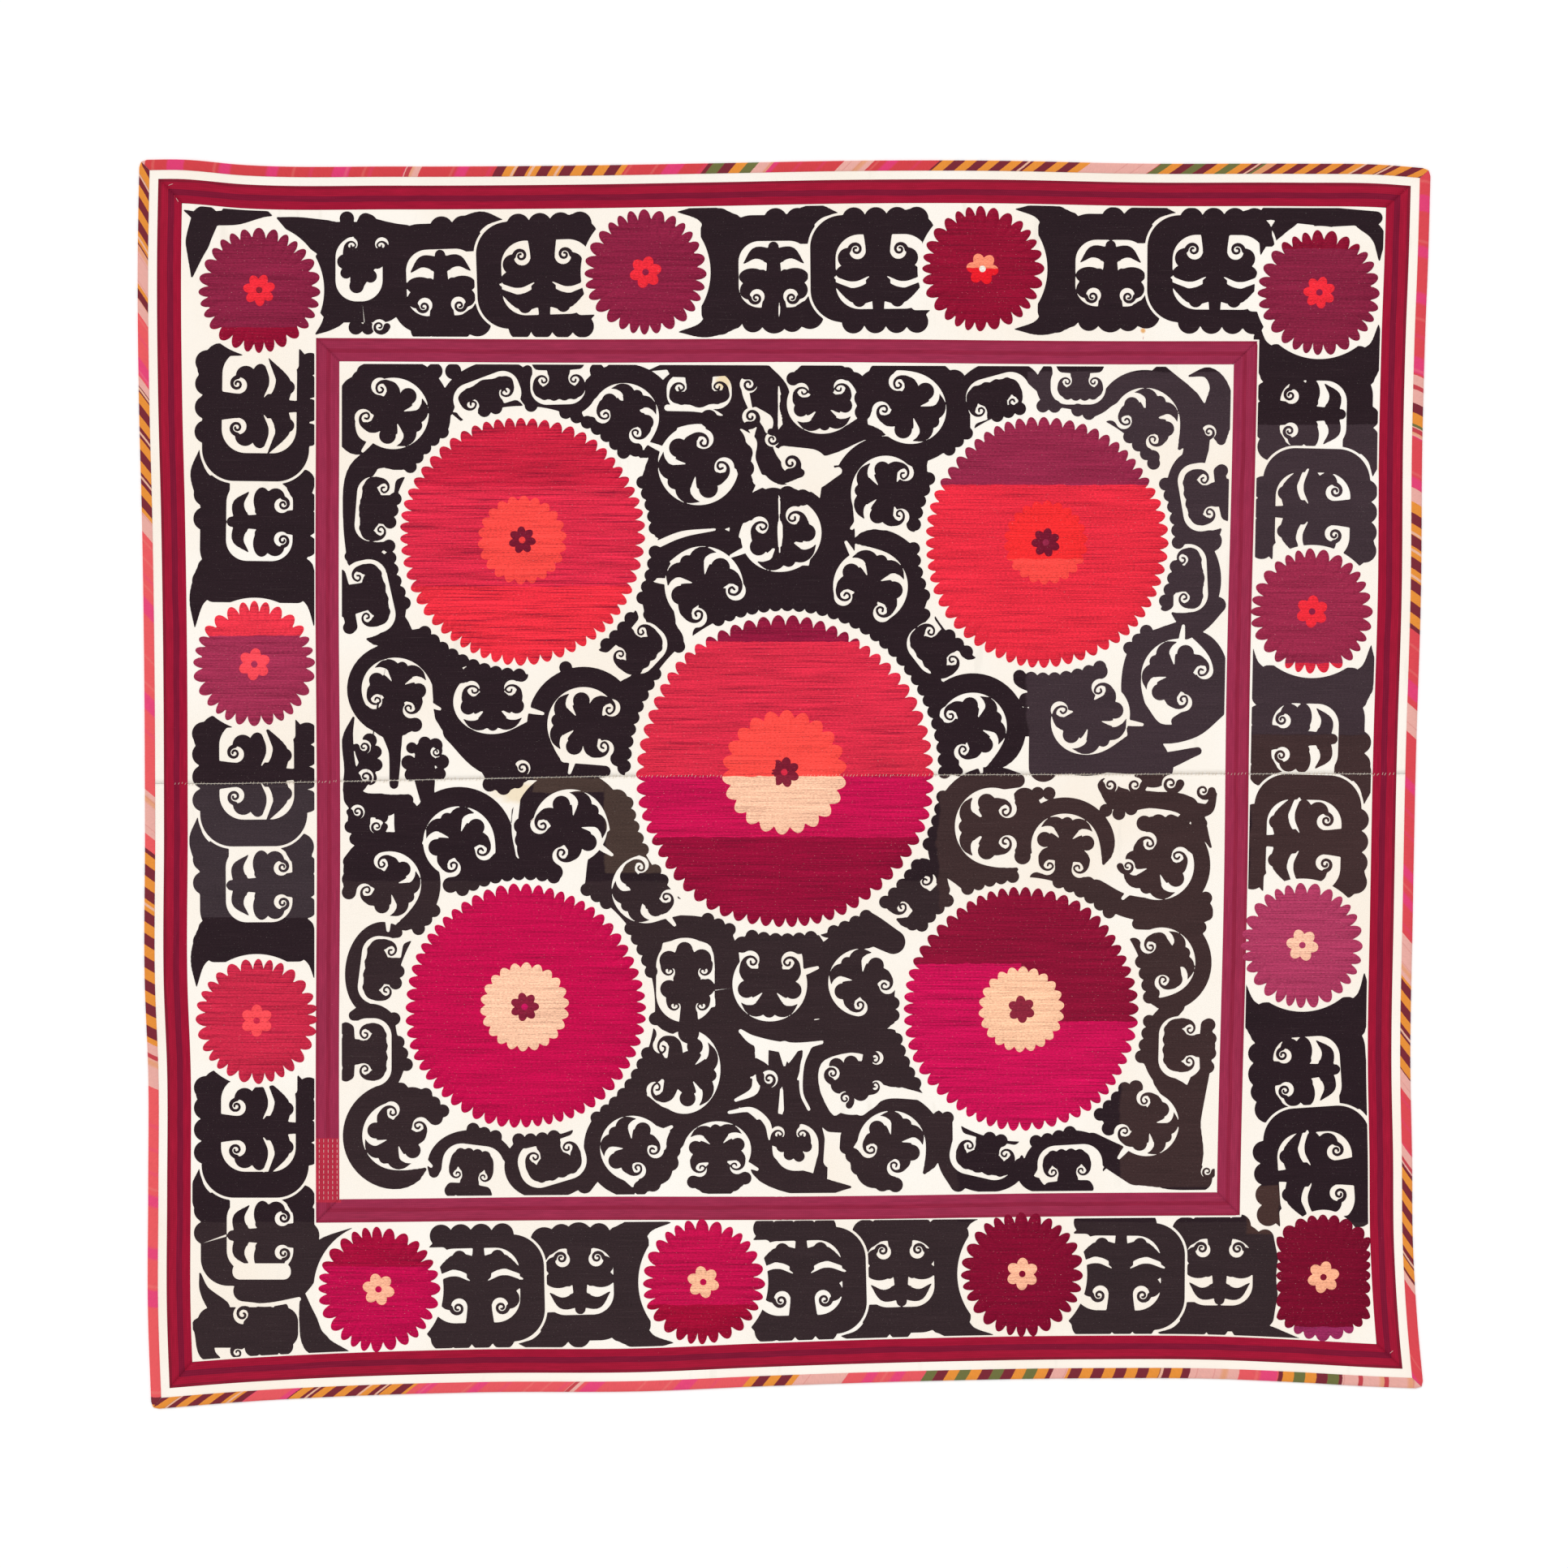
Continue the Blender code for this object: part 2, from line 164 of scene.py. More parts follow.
def slab(name, top, underside):
    """A closed sheet: a grid seen from above, the same grid below it, and a wall round the rim."""
    rows, columns = top.shape[:2]
    count = rows * columns
    up = grid_faces(rows, columns)
    rim = rim_of(rows, columns)
    after = np.roll(rim, -1)
    wall = np.stack((after, rim, rim + count, after + count), axis=1)
    faces = np.concatenate((up, up[:, ::-1] + count, wall))
    points = np.concatenate((top.reshape(-1, 3), underside.reshape(-1, 3)))
    return mesh_object(name, points, faces)


def give_uv(obj, across, along):
    """A UV map from one pair of values for each point: along the piece, then across it."""
    mesh = obj.data
    corner = np.empty(len(mesh.loops), np.int32)
    mesh.loops.foreach_get("vertex_index", corner)
    pairs = np.stack((along.ravel()[corner], across.ravel()[corner]), axis=1)
    layer = mesh.uv_layers.new(name="UVMap")
    layer.data.foreach_set("uv", pairs.astype(np.float32).ravel())


print("a slab of 2 by 3 points has", len(grid_faces(2, 3)) * 2 + len(rim_of(2, 3)), "faces")

# %% [markdown]
# Materials are built from nodes, but node trees are slow to read. Here a small class wraps the output of a
# node, so that adding two wrapped values writes a Math node. A colour goes through a Mix node instead,
# because a Math node would turn it grey.

# %% Materials written as sums


class Value:
    """A wrapped output of a node: arithmetic on it adds Math nodes."""

    def __init__(self, finish, socket):
        self.finish = finish
        self.socket = socket

    def math(self, operation, *others, clamp=False):
        inputs = {0: self}
        inputs.update({k + 1: other for k, other in enumerate(others)})
        return self.finish.node("ShaderNodeMath", {"operation": operation, "use_clamp": clamp}, inputs)

    def __add__(self, other):
        return self.math("ADD", other)

    def __mul__(self, other):
        return self.math("MULTIPLY", other)

    def __sub__(self, other):
        return self.math("SUBTRACT", other)

    def __truediv__(self, other):
        return self.math("DIVIDE", other)

    def __rsub__(self, other):
        return self.finish.node("ShaderNodeMath", {"operation": "SUBTRACT"}, {0: other, 1: self})

    __radd__ = __add__
    __rmul__ = __mul__

    def __mod__(self, other):
        return self.math("FLOORED_MODULO", other)

    def above(self, edge, soft=0.0):
        """1 where the value is above the edge and 0 below it, with a ramp of the soft width between."""
        if not soft:
            return self.math("GREATER_THAN", edge)
        return ((self - edge) * (1 / soft) + 0.5).math("MAXIMUM", 0).math("MINIMUM", 1)

    def wave(self):
        return self.math("SINE")


print("methods of a wrapped value:", sum(callable(part) for part in vars(Value).values()))

# %% [markdown]
# A finish is one material. It holds the node tree, the place on the cloth that colours are worked out from,
# and one method that makes any node. The cloth and the thread are dull, so very little of the lamp is
# mirrored.

# %% One material and its nodes
# A Mix node keeps its sockets for colours after those for numbers and directions.
COLOUR_A = 6
COLOUR_B = 7
COLOUR_OUT = 2
LOW_SHINE = 0.08


class Finish:
    """One material: its nodes, and the places and noises that its colours are worked out from."""

    def __init__(self, name, roughness, sheen=0.0):
        self.material = bpy.data.materials.new(name)
        self.material.use_nodes = True
        self.tree = self.material.node_tree
        self.shader = self.tree.nodes["Principled BSDF"]
        self.shader.inputs["Roughness"].default_value = roughness
        self.shader.inputs["Specular IOR Level"].default_value = LOW_SHINE
        self.shader.inputs["Sheen Weight"].default_value = sheen
        self.place = self.node("ShaderNodeTexCoord", {}, {}, "Object")
        split = self.node("ShaderNodeSeparateXYZ", {}, {0: self.place}, None)
        self.x, self.y, self.z = (Value(self, split.outputs[k]) for k in range(3))

    def node(self, kind, settings, inputs, output=0):
        """Any node: its settings first, then the values or links of its sockets."""
        node = self.tree.nodes.new(kind)
        for name, value in settings.items():
            setattr(node, name, value)
        for name, value in inputs.items():
            if isinstance(value, Value):
                self.tree.links.new(value.socket, node.inputs[name])
            else:
                node.inputs[name].default_value = value
        return node if output is None else Value(self, node.outputs[output])

    def uv(self):
        """How far along the piece, and how far across it, in metres."""
        place = self.node("ShaderNodeTexCoord", {}, {}, "UV")
        split = self.node("ShaderNodeSeparateXYZ", {}, {0: place}, None)
        return Value(self, split.outputs[0]), Value(self, split.outputs[1])

    def spot(self, x, y, z=0.0):
        """A place made of three values."""
        return self.node("ShaderNodeCombineXYZ", {}, {0: x, 1: y, 2: z})

    def noise(self, place, scale=1.0, detail=2.0, roughness=0.5):
        inputs = {"Vector": place, "Scale": scale, "Detail": detail, "Roughness": roughness}
        return self.node("ShaderNodeTexNoise", {}, inputs)

    def mix(self, share, first, second):
        """A colour between two others: the first where the share is 0, the second where it is 1."""
        inputs = {"Factor": share}
        for socket, colour in ((COLOUR_A, first), (COLOUR_B, second)):
            inputs[socket] = colour if isinstance(colour, Value) else linear(colour)
        return self.node("ShaderNodeMix", {"data_type": "RGBA"}, inputs, COLOUR_OUT)

    def plain(self, colour):
        """The same colour everywhere, as a value that other colours can be mixed over."""
        return self.mix(0.0, colour, colour)

    def shade(self, colour, amount):
        """The colour made lighter or darker: its brightness times the amount."""
        return self.node("ShaderNodeHueSaturation", {}, {"Value": amount, "Color": colour})

    def colour(self, value):
        self.tree.links.new(value.socket, self.shader.inputs["Base Color"])

    def relief(self, height, depth, strength=1.0):
        """Fine relief that the light catches: the height's share of this depth, in metres."""
        bump = self.node("ShaderNodeBump", {}, {"Height": height, "Distance": depth, "Strength": strength})
        self.tree.links.new(bump.socket, self.shader.inputs["Normal"])


def linear(colour):
    """A web colour such as #faf3e6 as the light that it stands for, red, green, blue and 1."""
    shares = np.array([int(colour[k : k + 2], 16) for k in (1, 3, 5)]) / 255
    light = np.where(shares <= 0.04045, shares / 12.92, ((shares + 0.055) / 1.055) ** 2.4)
    return (*light.tolist(), 1.0)


print("the cream of the cotton as light:", [round(v, 3) for v in linear("#fffaf2")])

# %% [markdown]
# The cloth isn't a true rectangle. Its sides bow in and out by up to 25 mm, as hand-woven cloth does after
# years of hanging. So it has coordinates of its own: u runs from the left edge to the right one, and v from
# the bottom to the top. The four bowed edges are met exactly and their bows fade towards the far side. The
# bindings and the outer frame are laid out in these coordinates, so that they bend with the edge.

# %% The cloth's own coordinates


class Corners(NamedTuple):
    """The four corners of a four-sided outline, each as (x, y)."""

    bottom_left: tuple
    bottom_right: tuple
    top_right: tuple
    top_left: tuple


class Bow(NamedTuple):
    """One station of a side: the share of the way along it, and how far it bows outwards there."""

    along: float
    out: float


CLOTH_CORNERS = Corners((-1.0256, -1.0146), (1.0369, -0.9810), (1.0486, 0.9968), (-1.0451, 1.0108))
INNER_BAND_CORNERS = Corners((-0.7610, -0.7135), (0.7412, -0.7016), (0.7702, 0.7201), (-0.7610, 0.7253))
BOTTOM_BOWS = [Bow(*row) for row in (
    (0.0, 0.0), (0.07, -0.0095), (0.14, -0.0153), (0.26, -0.0188), (0.39, -0.0162), (0.48, -0.0211),
    (0.61, -0.0254), (0.74, -0.0254), (0.84, -0.0210), (0.90, -0.0137), (0.965, -0.0040), (1.0, 0.0),
)]
TOP_BOWS = [Bow(*row) for row in (
    (0.0, 0.0), (0.03, 0.0010), (0.08, -0.0072), (0.20, -0.0080), (0.33, -0.0048), (0.45, 0.0010),
    (0.55, 0.0062), (0.66, 0.0080), (0.78, 0.0048), (0.90, 0.0064), (0.96, 0.0058), (1.0, 0.0),
)]
LEFT_BOWS = [Bow(*row) for row in (
    (0.0, 0.0), (0.08, 0.0040), (0.17, 0.0018), (0.27, -0.0002), (0.34, 0.0040), (0.46, 0.0013),
    (0.60, 0.0), (0.72, 0.0015), (0.80, 0.0042), (0.92, 0.0042), (1.0, 0.0),
)]
RIGHT_BOWS = [Bow(*row) for row in (
    (0.0, 0.0), (0.05, -0.0099), (0.12, -0.0186), (0.19, -0.0207), (0.26, -0.0242), (0.39, -0.0218),
    (0.52, -0.0181), (0.65, -0.0117), (0.78, -0.0107), (0.86, -0.0075), (0.93, -0.0030), (1.0, 0.0),
)]
CORNER_EAR = 0.003
CORNER_EAR_RUN = 0.009
SIDES = ("top", "right", "bottom", "left")
print("stations:", [len(bows) for bows in (BOTTOM_BOWS, TOP_BOWS, LEFT_BOWS, RIGHT_BOWS)])

# %% [markdown]
# A side is a straight line between two corners that is bent by its bow. The bow is known at a few stations,
# and a cubic curve joins them without a kink. At each end the side also stands out a little, as the corner
# of a folded strip does.

# %% A side as a curve


def smooth_through(stations, values, where):
    """A cubic curve through the stations, with slopes from their neighbours."""
    slopes = np.gradient(values, stations)
    left = np.clip(np.searchsorted(stations, where, side="right") - 1, 0, len(stations) - 2)
    span = stations[left + 1] - stations[left]
    t = (where - stations[left]) / span
    rise = 3 * t**2 - 2 * t**3
    return (
        values[left] * (1 - rise)
        + values[left + 1] * rise
        + span * slopes[left] * (t**3 - 2 * t**2 + t)
        + span * slopes[left + 1] * (t**3 - t**2)
    )


class Side:
    """One edge of the cloth: a straight chord between two corners, plus its bow and its two ears."""

    def __init__(self, start, end, bows, outward_sign):
        self.start = np.array(start)
        self.end = np.array(end)
        chord = self.end - self.start
        self.length = float(np.hypot(*chord))
        self.outward = outward_sign * np.array((chord[1], -chord[0])) / self.length
        self.stations = np.array([bow.along for bow in bows])
        self.bows = np.array([bow.out for bow in bows])

    def at(self, share):
        bow = smooth_through(self.stations, self.bows, share)
        from_end = np.minimum(share, 1 - share) * self.length
        ear = CORNER_EAR * np.clip(from_end / CORNER_EAR_RUN, 0, 1)
        straight = self.start + np.outer(share, self.end - self.start)
        return straight + np.outer(bow + ear, self.outward)


half_way = smooth_through(np.arange(3.0), np.array((0.0, 1.0, 0.0)), np.array((0.5,)))
print("a curve through 0, 1 and 0 is", float(half_way[0]), "half way to its top")

# %% [markdown]
# A point of the cloth is a blend of its four sides: the bottom and the top one by v, the left and the right
# one by u. Both blends hold the corners, so the corners are taken off once.

# %% The four sides together


class Cloth:
    """The cloth's own coordinates, u across and v up, each from 0 to 1."""

    def __init__(self, corners):
        self.corners = [np.array(corner) for corner in corners]
        bottom_left, bottom_right, top_right, top_left = corners
        self.bottom = Side(bottom_left, bottom_right, BOTTOM_BOWS, 1)
        self.top = Side(top_left, top_right, TOP_BOWS, -1)
        self.left = Side(bottom_left, top_left, LEFT_BOWS, -1)
        self.right = Side(bottom_right, top_right, RIGHT_BOWS, 1)
        self.width = (self.bottom.length + self.top.length) / 2
        self.height = (self.left.length + self.right.length) / 2

    def at(self, u, v):
        """Two pairs of edges blended, less the four corners that both pairs count."""
        bottom_left, bottom_right, top_right, top_left = self.corners
        u_column, v_column = u.reshape(-1, 1), v.reshape(-1, 1)
        across = (1 - v_column) * self.bottom.at(u.ravel()) + v_column * self.top.at(u.ravel())
        upwards = (1 - u_column) * self.left.at(v.ravel()) + u_column * self.right.at(v.ravel())
        low = (1 - u_column) * bottom_left + u_column * bottom_right
        high = (1 - u_column) * top_left + u_column * top_right
        return (across + upwards - ((1 - v_column) * low + v_column * high)).reshape(*u.shape, 2)

    def along_side(self, name, depth, shares, cut_back=0.0):
        """Points at this depth inside one side, between the mitres at its two ends, left to right or up."""
        u_in, v_in = depth / self.width, depth / self.height
        if name in ("bottom", "top"):
            start = u_in + cut_back / self.width
            u = start + shares * (1 - 2 * start)
            v = np.full(u.shape, v_in if name == "bottom" else 1 - v_in)
        else:
            start = v_in + cut_back / self.height
            v = start + shares * (1 - 2 * start)
            u = np.full(v.shape, u_in if name == "left" else 1 - u_in)
        return self.at(u, v)


def centred(corners):
    """The corners, moved so that the middle of the cloth's box is over the origin, as in the solids."""
    shares = np.linspace(0, 1, 400)
    sides = Cloth(corners)
    outline = np.concatenate([sides.along_side(name, 0.0, shares) for name in SIDES])
    middle = (outline.min(axis=0) + outline.max(axis=0)) / 2
    return Corners(*(tuple(np.array(corner) - middle) for corner in corners))


cloth = Cloth(centred(CLOTH_CORNERS))
print("cloth:", round(cloth.width, 3), "m wide,", round(cloth.height, 3), "m high")

# %% [markdown]
# The ground is plain cotton in two loom widths, sewn together a little above the middle. It lies nearly
# flat, but a cloth this large keeps soft swells and the line where it was folded for years, just left of
# the middle. One function gives that lie as a height above the floor. The cloth and all the stitching use
# it, so they stay together. At the rim the cloth climbs over the lower leaf of the binding.

# %% The two loom widths
CLOTH_THICK = 0.0010
LEAF_THICK = 0.0007
CLEARANCE = 0.0003
RIM_RISE = LEAF_THICK + CLEARANCE
CLOTH_INSET = LEAF_THICK + 0.0005
RIM_LEVEL_DEPTH = 0.0180
RIM_FOOT_DEPTH = 0.0295
RIM_STATIONS = (0.010, RIM_LEVEL_DEPTH, 0.0237, RIM_FOOT_DEPTH)
GROUND_COLUMNS = 240
GROUND_ROWS = 110
FOLD_LINE_X = -0.0055
FOLD_RISE = 0.0009
FOLD_SPREAD = 0.008
SWELL_RISE = 0.0005
LIE_EDGE = 0.93
LIE_FADE = 0.1
SEAM_X = np.array((-1.2, -0.90, -0.30, 0.30, 0.70, 1.2))
SEAM_Y = np.array((0.0, 0.0007, 0.0125, 0.0150, 0.0165, 0.0165))


def lie_of(x, y):
    """How far the cloth stands off the floor: a fold line's ridge, and the sum of slow swells."""
    fold = FOLD_RISE * np.exp(-(((x - FOLD_LINE_X) / FOLD_SPREAD) ** 2))
    swell = np.sin(5.1 * x + 2.3 * y) * np.sin(3.7 * y - 1.9 * x + 1.0)
    swell = swell + np.sin(11.0 * x - 6.0 * y + 0.5) * 0.4
    inner = np.clip((LIE_EDGE - np.maximum(np.abs(x), np.abs(y))) / LIE_FADE, 0, 1)
    return (fold + SWELL_RISE * (swell + 1.4) / 2) * inner


def seam_height(x):
    return np.interp(x, SEAM_X, SEAM_Y)


def rim_rise(u, v):
    """How far the cloth climbs over the binding's lower leaf: nothing inside the foot, all at the rim."""
    depth = np.minimum(np.minimum(u, 1 - u) * cloth.width, np.minimum(v, 1 - v) * cloth.height)
    return RIM_RISE * np.clip((RIM_FOOT_DEPTH - depth) / (RIM_FOOT_DEPTH - RIM_LEVEL_DEPTH), 0, 1)


def rim_steps(size, count):
    """Shares across the cloth: rows where the rim bends, and even ones between."""
    near = np.array((CLOTH_INSET, *RIM_STATIONS)) / size
    return np.concatenate((near, np.linspace(near[-1], 1 - near[-1], count)[1:-1], 1 - near[::-1]))


def make_ground(name, upper):
    """A loom width: rows from the seam to the outer edge, with the lie and the rim's rise added.

    The seam runs in metres and the rows in shares, so its share is found in a few rounds of correction.
    """
    u = rim_steps(cloth.width, GROUND_COLUMNS)
    seam_v = np.full(u.shape, 0.5)
    for _ in range(4):
        spots = cloth.at(u, seam_v)
        aim = seam_height(spots[:, 0]) + (CLEARANCE / 2 if upper else -CLEARANCE / 2)
        seam_v += (aim - spots[:, 1]) / cloth.height
    outward = np.array((0.0, *RIM_STATIONS)) / cloth.height
    edge = CLOTH_INSET / cloth.height
    rim = 1 - np.maximum(outward, edge) if upper else np.maximum(outward, edge)
    steps = np.linspace(0, 1, GROUND_ROWS)[:, None]
    inner = seam_v + steps * (rim[-1] - seam_v)
    v = np.concatenate((inner, np.repeat(rim[-2::-1, None], len(u), axis=1)))
    u_grid = np.repeat(u[None], len(v), axis=0)
    spots = cloth.at(u_grid, v)
    low = rim_rise(u_grid, v) + lie_of(spots[..., 0], spots[..., 1])
    if not upper:
        spots, low = spots[::-1], low[::-1]
    underside = np.concatenate((spots, low[..., None]), axis=2)
    top = underside + (0, 0, CLOTH_THICK)
    return slab(name, top, underside)


ground_upper = make_ground("ground_upper", True)
ground_lower = make_ground("ground_lower", False)
print("ground:", [len(obj.data.polygons) for obj in (ground_upper, ground_lower)], "faces")

# %% [markdown]
# Hand-woven cotton is never one white. The warp and weft are bump, because they are far finer than a
# millimetre. The cream drifts slowly towards grey and yellow, and a few old stains are placed where they are
# on the real cloth.

# %% The cotton


class Stain(NamedTuple):
    """A spot on the cotton: its place in pixels, its half sizes and its colour."""

    x: float
    y: float
    wide: float
    high: float
    colour: str
    strength: float


STAINS = (
    Stain(1408, 407, 4, 4, "#e8a85a", 0.9),
    Stain(891, 469, 11, 15, "#f3d9a8", 0.8),
    Stain(637, 976, 34, 16, "#ecd2a0", 0.55),
    Stain(1700, 577, 3, 14, "#e9b878", 0.7),
)
cotton = Finish("cream_cotton", 0.92)
drift = cotton.noise(cotton.place, 3.0, 4.0)
cream = cotton.mix(drift.above(0.5, 0.35), "#fffaf2", "#fbf0e2")
wisp = cotton.noise(cotton.spot(cotton.x * 40, cotton.y * 7), 1.0, 5.0)
cream = cotton.mix(wisp.above(0.68, 0.1) * 0.35, cream, "#e9e2d6")
for stain in STAINS:
    centre_x, centre_y = metres((stain.x, stain.y))
    off_x = (cotton.x - float(centre_x)) * (1 / (stain.wide * METRES_PER_PIXEL))
    off_y = (cotton.y - float(centre_y)) * (1 / (stain.high * METRES_PER_PIXEL))
    ragged = cotton.noise(cotton.place, 60.0, 3.0) * 0.9
    edge = (off_x * off_x + off_y * off_y).math("SQRT") + ragged
    cream = cotton.mix((1.45 - edge).above(0.25, 0.5) * stain.strength, cream, stain.colour)
cotton.colour(cream)
weave = (cotton.x * 5200).wave() * (cotton.y * 4800).wave()
slub = cotton.noise(cotton.spot(cotton.x * 90, cotton.y * 900), 1.0, 2.0)
cotton.relief(weave * 0.25 + slub, 0.0006, 0.5)
for obj in (ground_upper, ground_lower):
    obj.data.materials.append(cotton.material)
print("cotton stains:", len(STAINS))

# %% [markdown]
# The edge is bound with four strips of ikat, a cloth whose warp is dyed in blocks before it is woven. Each
# strip is folded over the edge and meets the next in a mitre. Its section is a flat loop with a round fold
# outside, carried along the side. The piece keeps a UV map of how far along and how far round a point is,
# because the dyed stripes follow the strip, bows and all.

# %% The folded bindings
BINDING_WIDTH = 0.0168
FOLD_BEND = 0.0011
FOLD_CORNER = 0.0006
LEAF_CORNER = 0.0003
MITRE_GAP = 0.00022
BINDING_TOP = 2 * LEAF_THICK + 2 * CLEARANCE + CLOTH_THICK
SECTION = np.array((
    (BINDING_WIDTH, 0.0), (BINDING_WIDTH / 2, 0.0), (FOLD_BEND, 0.0), (LEAF_CORNER, FOLD_CORNER),
    (0.0, BINDING_TOP / 2), (LEAF_CORNER, BINDING_TOP - FOLD_CORNER), (FOLD_BEND, BINDING_TOP),
    (BINDING_WIDTH / 3, BINDING_TOP), (BINDING_WIDTH * 2 / 3, BINDING_TOP),
    (BINDING_WIDTH - FOLD_CORNER, BINDING_TOP), (BINDING_WIDTH, BINDING_TOP - LEAF_CORNER),
    (BINDING_WIDTH, BINDING_TOP - LEAF_THICK), (BINDING_WIDTH / 2, BINDING_TOP - LEAF_THICK),
    (LEAF_THICK + LEAF_CORNER, BINDING_TOP - LEAF_THICK), (LEAF_THICK, BINDING_TOP / 2),
    (LEAF_THICK + LEAF_CORNER, LEAF_THICK), (BINDING_WIDTH, LEAF_THICK),
))
LENGTH_OF = {"top": cloth.width, "bottom": cloth.width, "left": cloth.height, "right": cloth.height}


BINDING_STATIONS = 180
SHARP_DEGREES = 40


def end_steps(count):
    """Shares of a side, close together in its ears, where the corner turns."""
    near = np.array((0.0, 0.0035, 0.009)) / 2
    return np.concatenate((near, np.linspace(near[-1], 1 - near[-1], count)[1:-1], 1 - near[::-1]))


def make_binding(side):
    """The section carried along a side: each of its points is a line at its own depth and height."""
    shares = end_steps(BINDING_STATIONS)
    section = SECTION[::-1] if side in ("bottom", "right") else SECTION
    around, count = len(section), len(shares)
    lines = [cloth.along_side(side, depth, shares, MITRE_GAP) for depth in section[:, 0]]
    heights = np.repeat(section[:, 1:], count, axis=1)
    grid = np.dstack((lines, heights))
    faces = grid_faces(around, count, close_rows=True)
    obj = mesh_object(f"binding_strip_{side}", grid.reshape(-1, 3), faces)
    length = np.repeat((shares * LENGTH_OF[side])[None], around, axis=0)
    give_uv(obj, np.repeat(section[:, :1], count, axis=1), length)
    close_ends(obj)
    return obj


def close_ends(obj):
    """Caps the two open ends of a strip, so that it is a closed solid."""
    build = bmesh.new()
    build.from_mesh(obj.data)
    open_edges = [edge for edge in build.edges if edge.is_boundary]
    bmesh.ops.holes_fill(build, edges=open_edges, sides=0)
    bmesh.ops.recalc_face_normals(build, faces=build.faces)
    build.to_mesh(obj.data)
    build.free()
    obj.data.shade_smooth()
    obj.data.set_sharp_from_angle(angle=math.radians(SHARP_DEGREES))


strips = {side: make_binding(side) for side in SIDES}
print("bindings:", {side: round(LENGTH_OF[side], 3) for side in SIDES})

# %% [markdown]
# The ikat was cut from one dyed cloth, so the same three kinds of run come again and again: red with pink
# blocks, slanting stripes of orange and brown, and pale pink where the dye didn't reach. A short table says
# where each run ends on each side. Inside a run, the stripes are worked out from the place along the strip.

# %% The ikat runs


class Run(NamedTuple):
    """One run of the binding: the photograph pixel along the side where it ends, and its kind."""

    end: float
    kind: str


IKAT_TABLE = {
    "top": (
        (175, "pale"), (495, "red"), (512, "pale"), (608, "red"), (768, "stripe"), (862, "red"),
        (925, "green"), (946, "pale"), (1030, "red"), (1065, "pale"), (1150, "red"), (1330, "stripe"),
        (1420, "pale"), (1545, "green"), (1562, "pale"), (1760, "stripe"),
    ),
    "right": (
        (470, "red"), (505, "pale"), (530, "green"), (545, "pale"), (610, "red"), (625, "pale"),
        (785, "stripe"), (880, "red"), (915, "pale"), (1170, "red"), (1228, "pale"), (1345, "stripe"),
        (1370, "pale"), (1440, "red"), (1460, "pale"), (1600, "stripe"), (1612, "pale"), (1720, "red"),
    ),
    "bottom": (
        (300, "stripe"), (355, "red"), (500, "stripe"), (700, "red"), (712, "pale"), (920, "red"),
        (980, "stripe"), (1040, "pale"), (1140, "red"), (1300, "green"), (1320, "pale"),
        (1470, "stripe"), (1535, "pale"), (1580, "red"), (1660, "green"), (1760, "pale"),
    ),
    "left": (
        (300, "stripe"), (345, "pale"), (360, "stripe"), (378, "pale"), (455, "red"), (470, "pale"),
        (622, "stripe"), (645, "pale"), (960, "red"), (1012, "pale"), (1030, "red"), (1270, "stripe"),
        (1322, "pale"), (1700, "red"), (1760, "stripe"),
    ),
}
IKAT_RUNS = {side: [Run(*row) for row in rows] for side, rows in IKAT_TABLE.items()}
print("ikat runs:", {side: len(runs) for side, runs in IKAT_RUNS.items()})

# %% [markdown]
# A colour ramp with steps turns the place along a strip into the kind of its run. The edges of the dyed
# blocks lean and feather, because the warp slips a little while it is woven.

# %% The ikat's colours
KIND_CODES = {"red": 0.0, "stripe": 0.33, "pale": 0.66, "green": 1.0}
STRIPE_WIDTH = 0.0185
SIDE_START_PIXEL = {"top": 173.0, "bottom": 190.0, "left": 200.0, "right": 210.0}


def run_ramp(finish, place, runs, first, length):
    """A ramp of constant steps that gives the kind of run as a grey."""
    ramp = finish.node("ShaderNodeValToRGB", {}, {0: place}, None)
    steps = ramp.color_ramp
    steps.interpolation = "CONSTANT"
    starts = [0.0] + [max(0.001, (run.end - first) * METRES_PER_PIXEL / length) for run in runs[:-1]]
    for k, (start, run) in enumerate(zip(starts, runs)):
        stop = steps.elements[k] if k < 2 else steps.elements.new(min(start, 1.0))
        stop.position = min(start, 1.0)
        grey = KIND_CODES[run.kind]
        stop.color = (grey, grey, grey, 1.0)
    return Value(finish, ramp.outputs[0])


SIDE_RED = {"top": "#d54349", "right": "#dd4952", "bottom": "#e75a60", "left": "#eb5c60"}


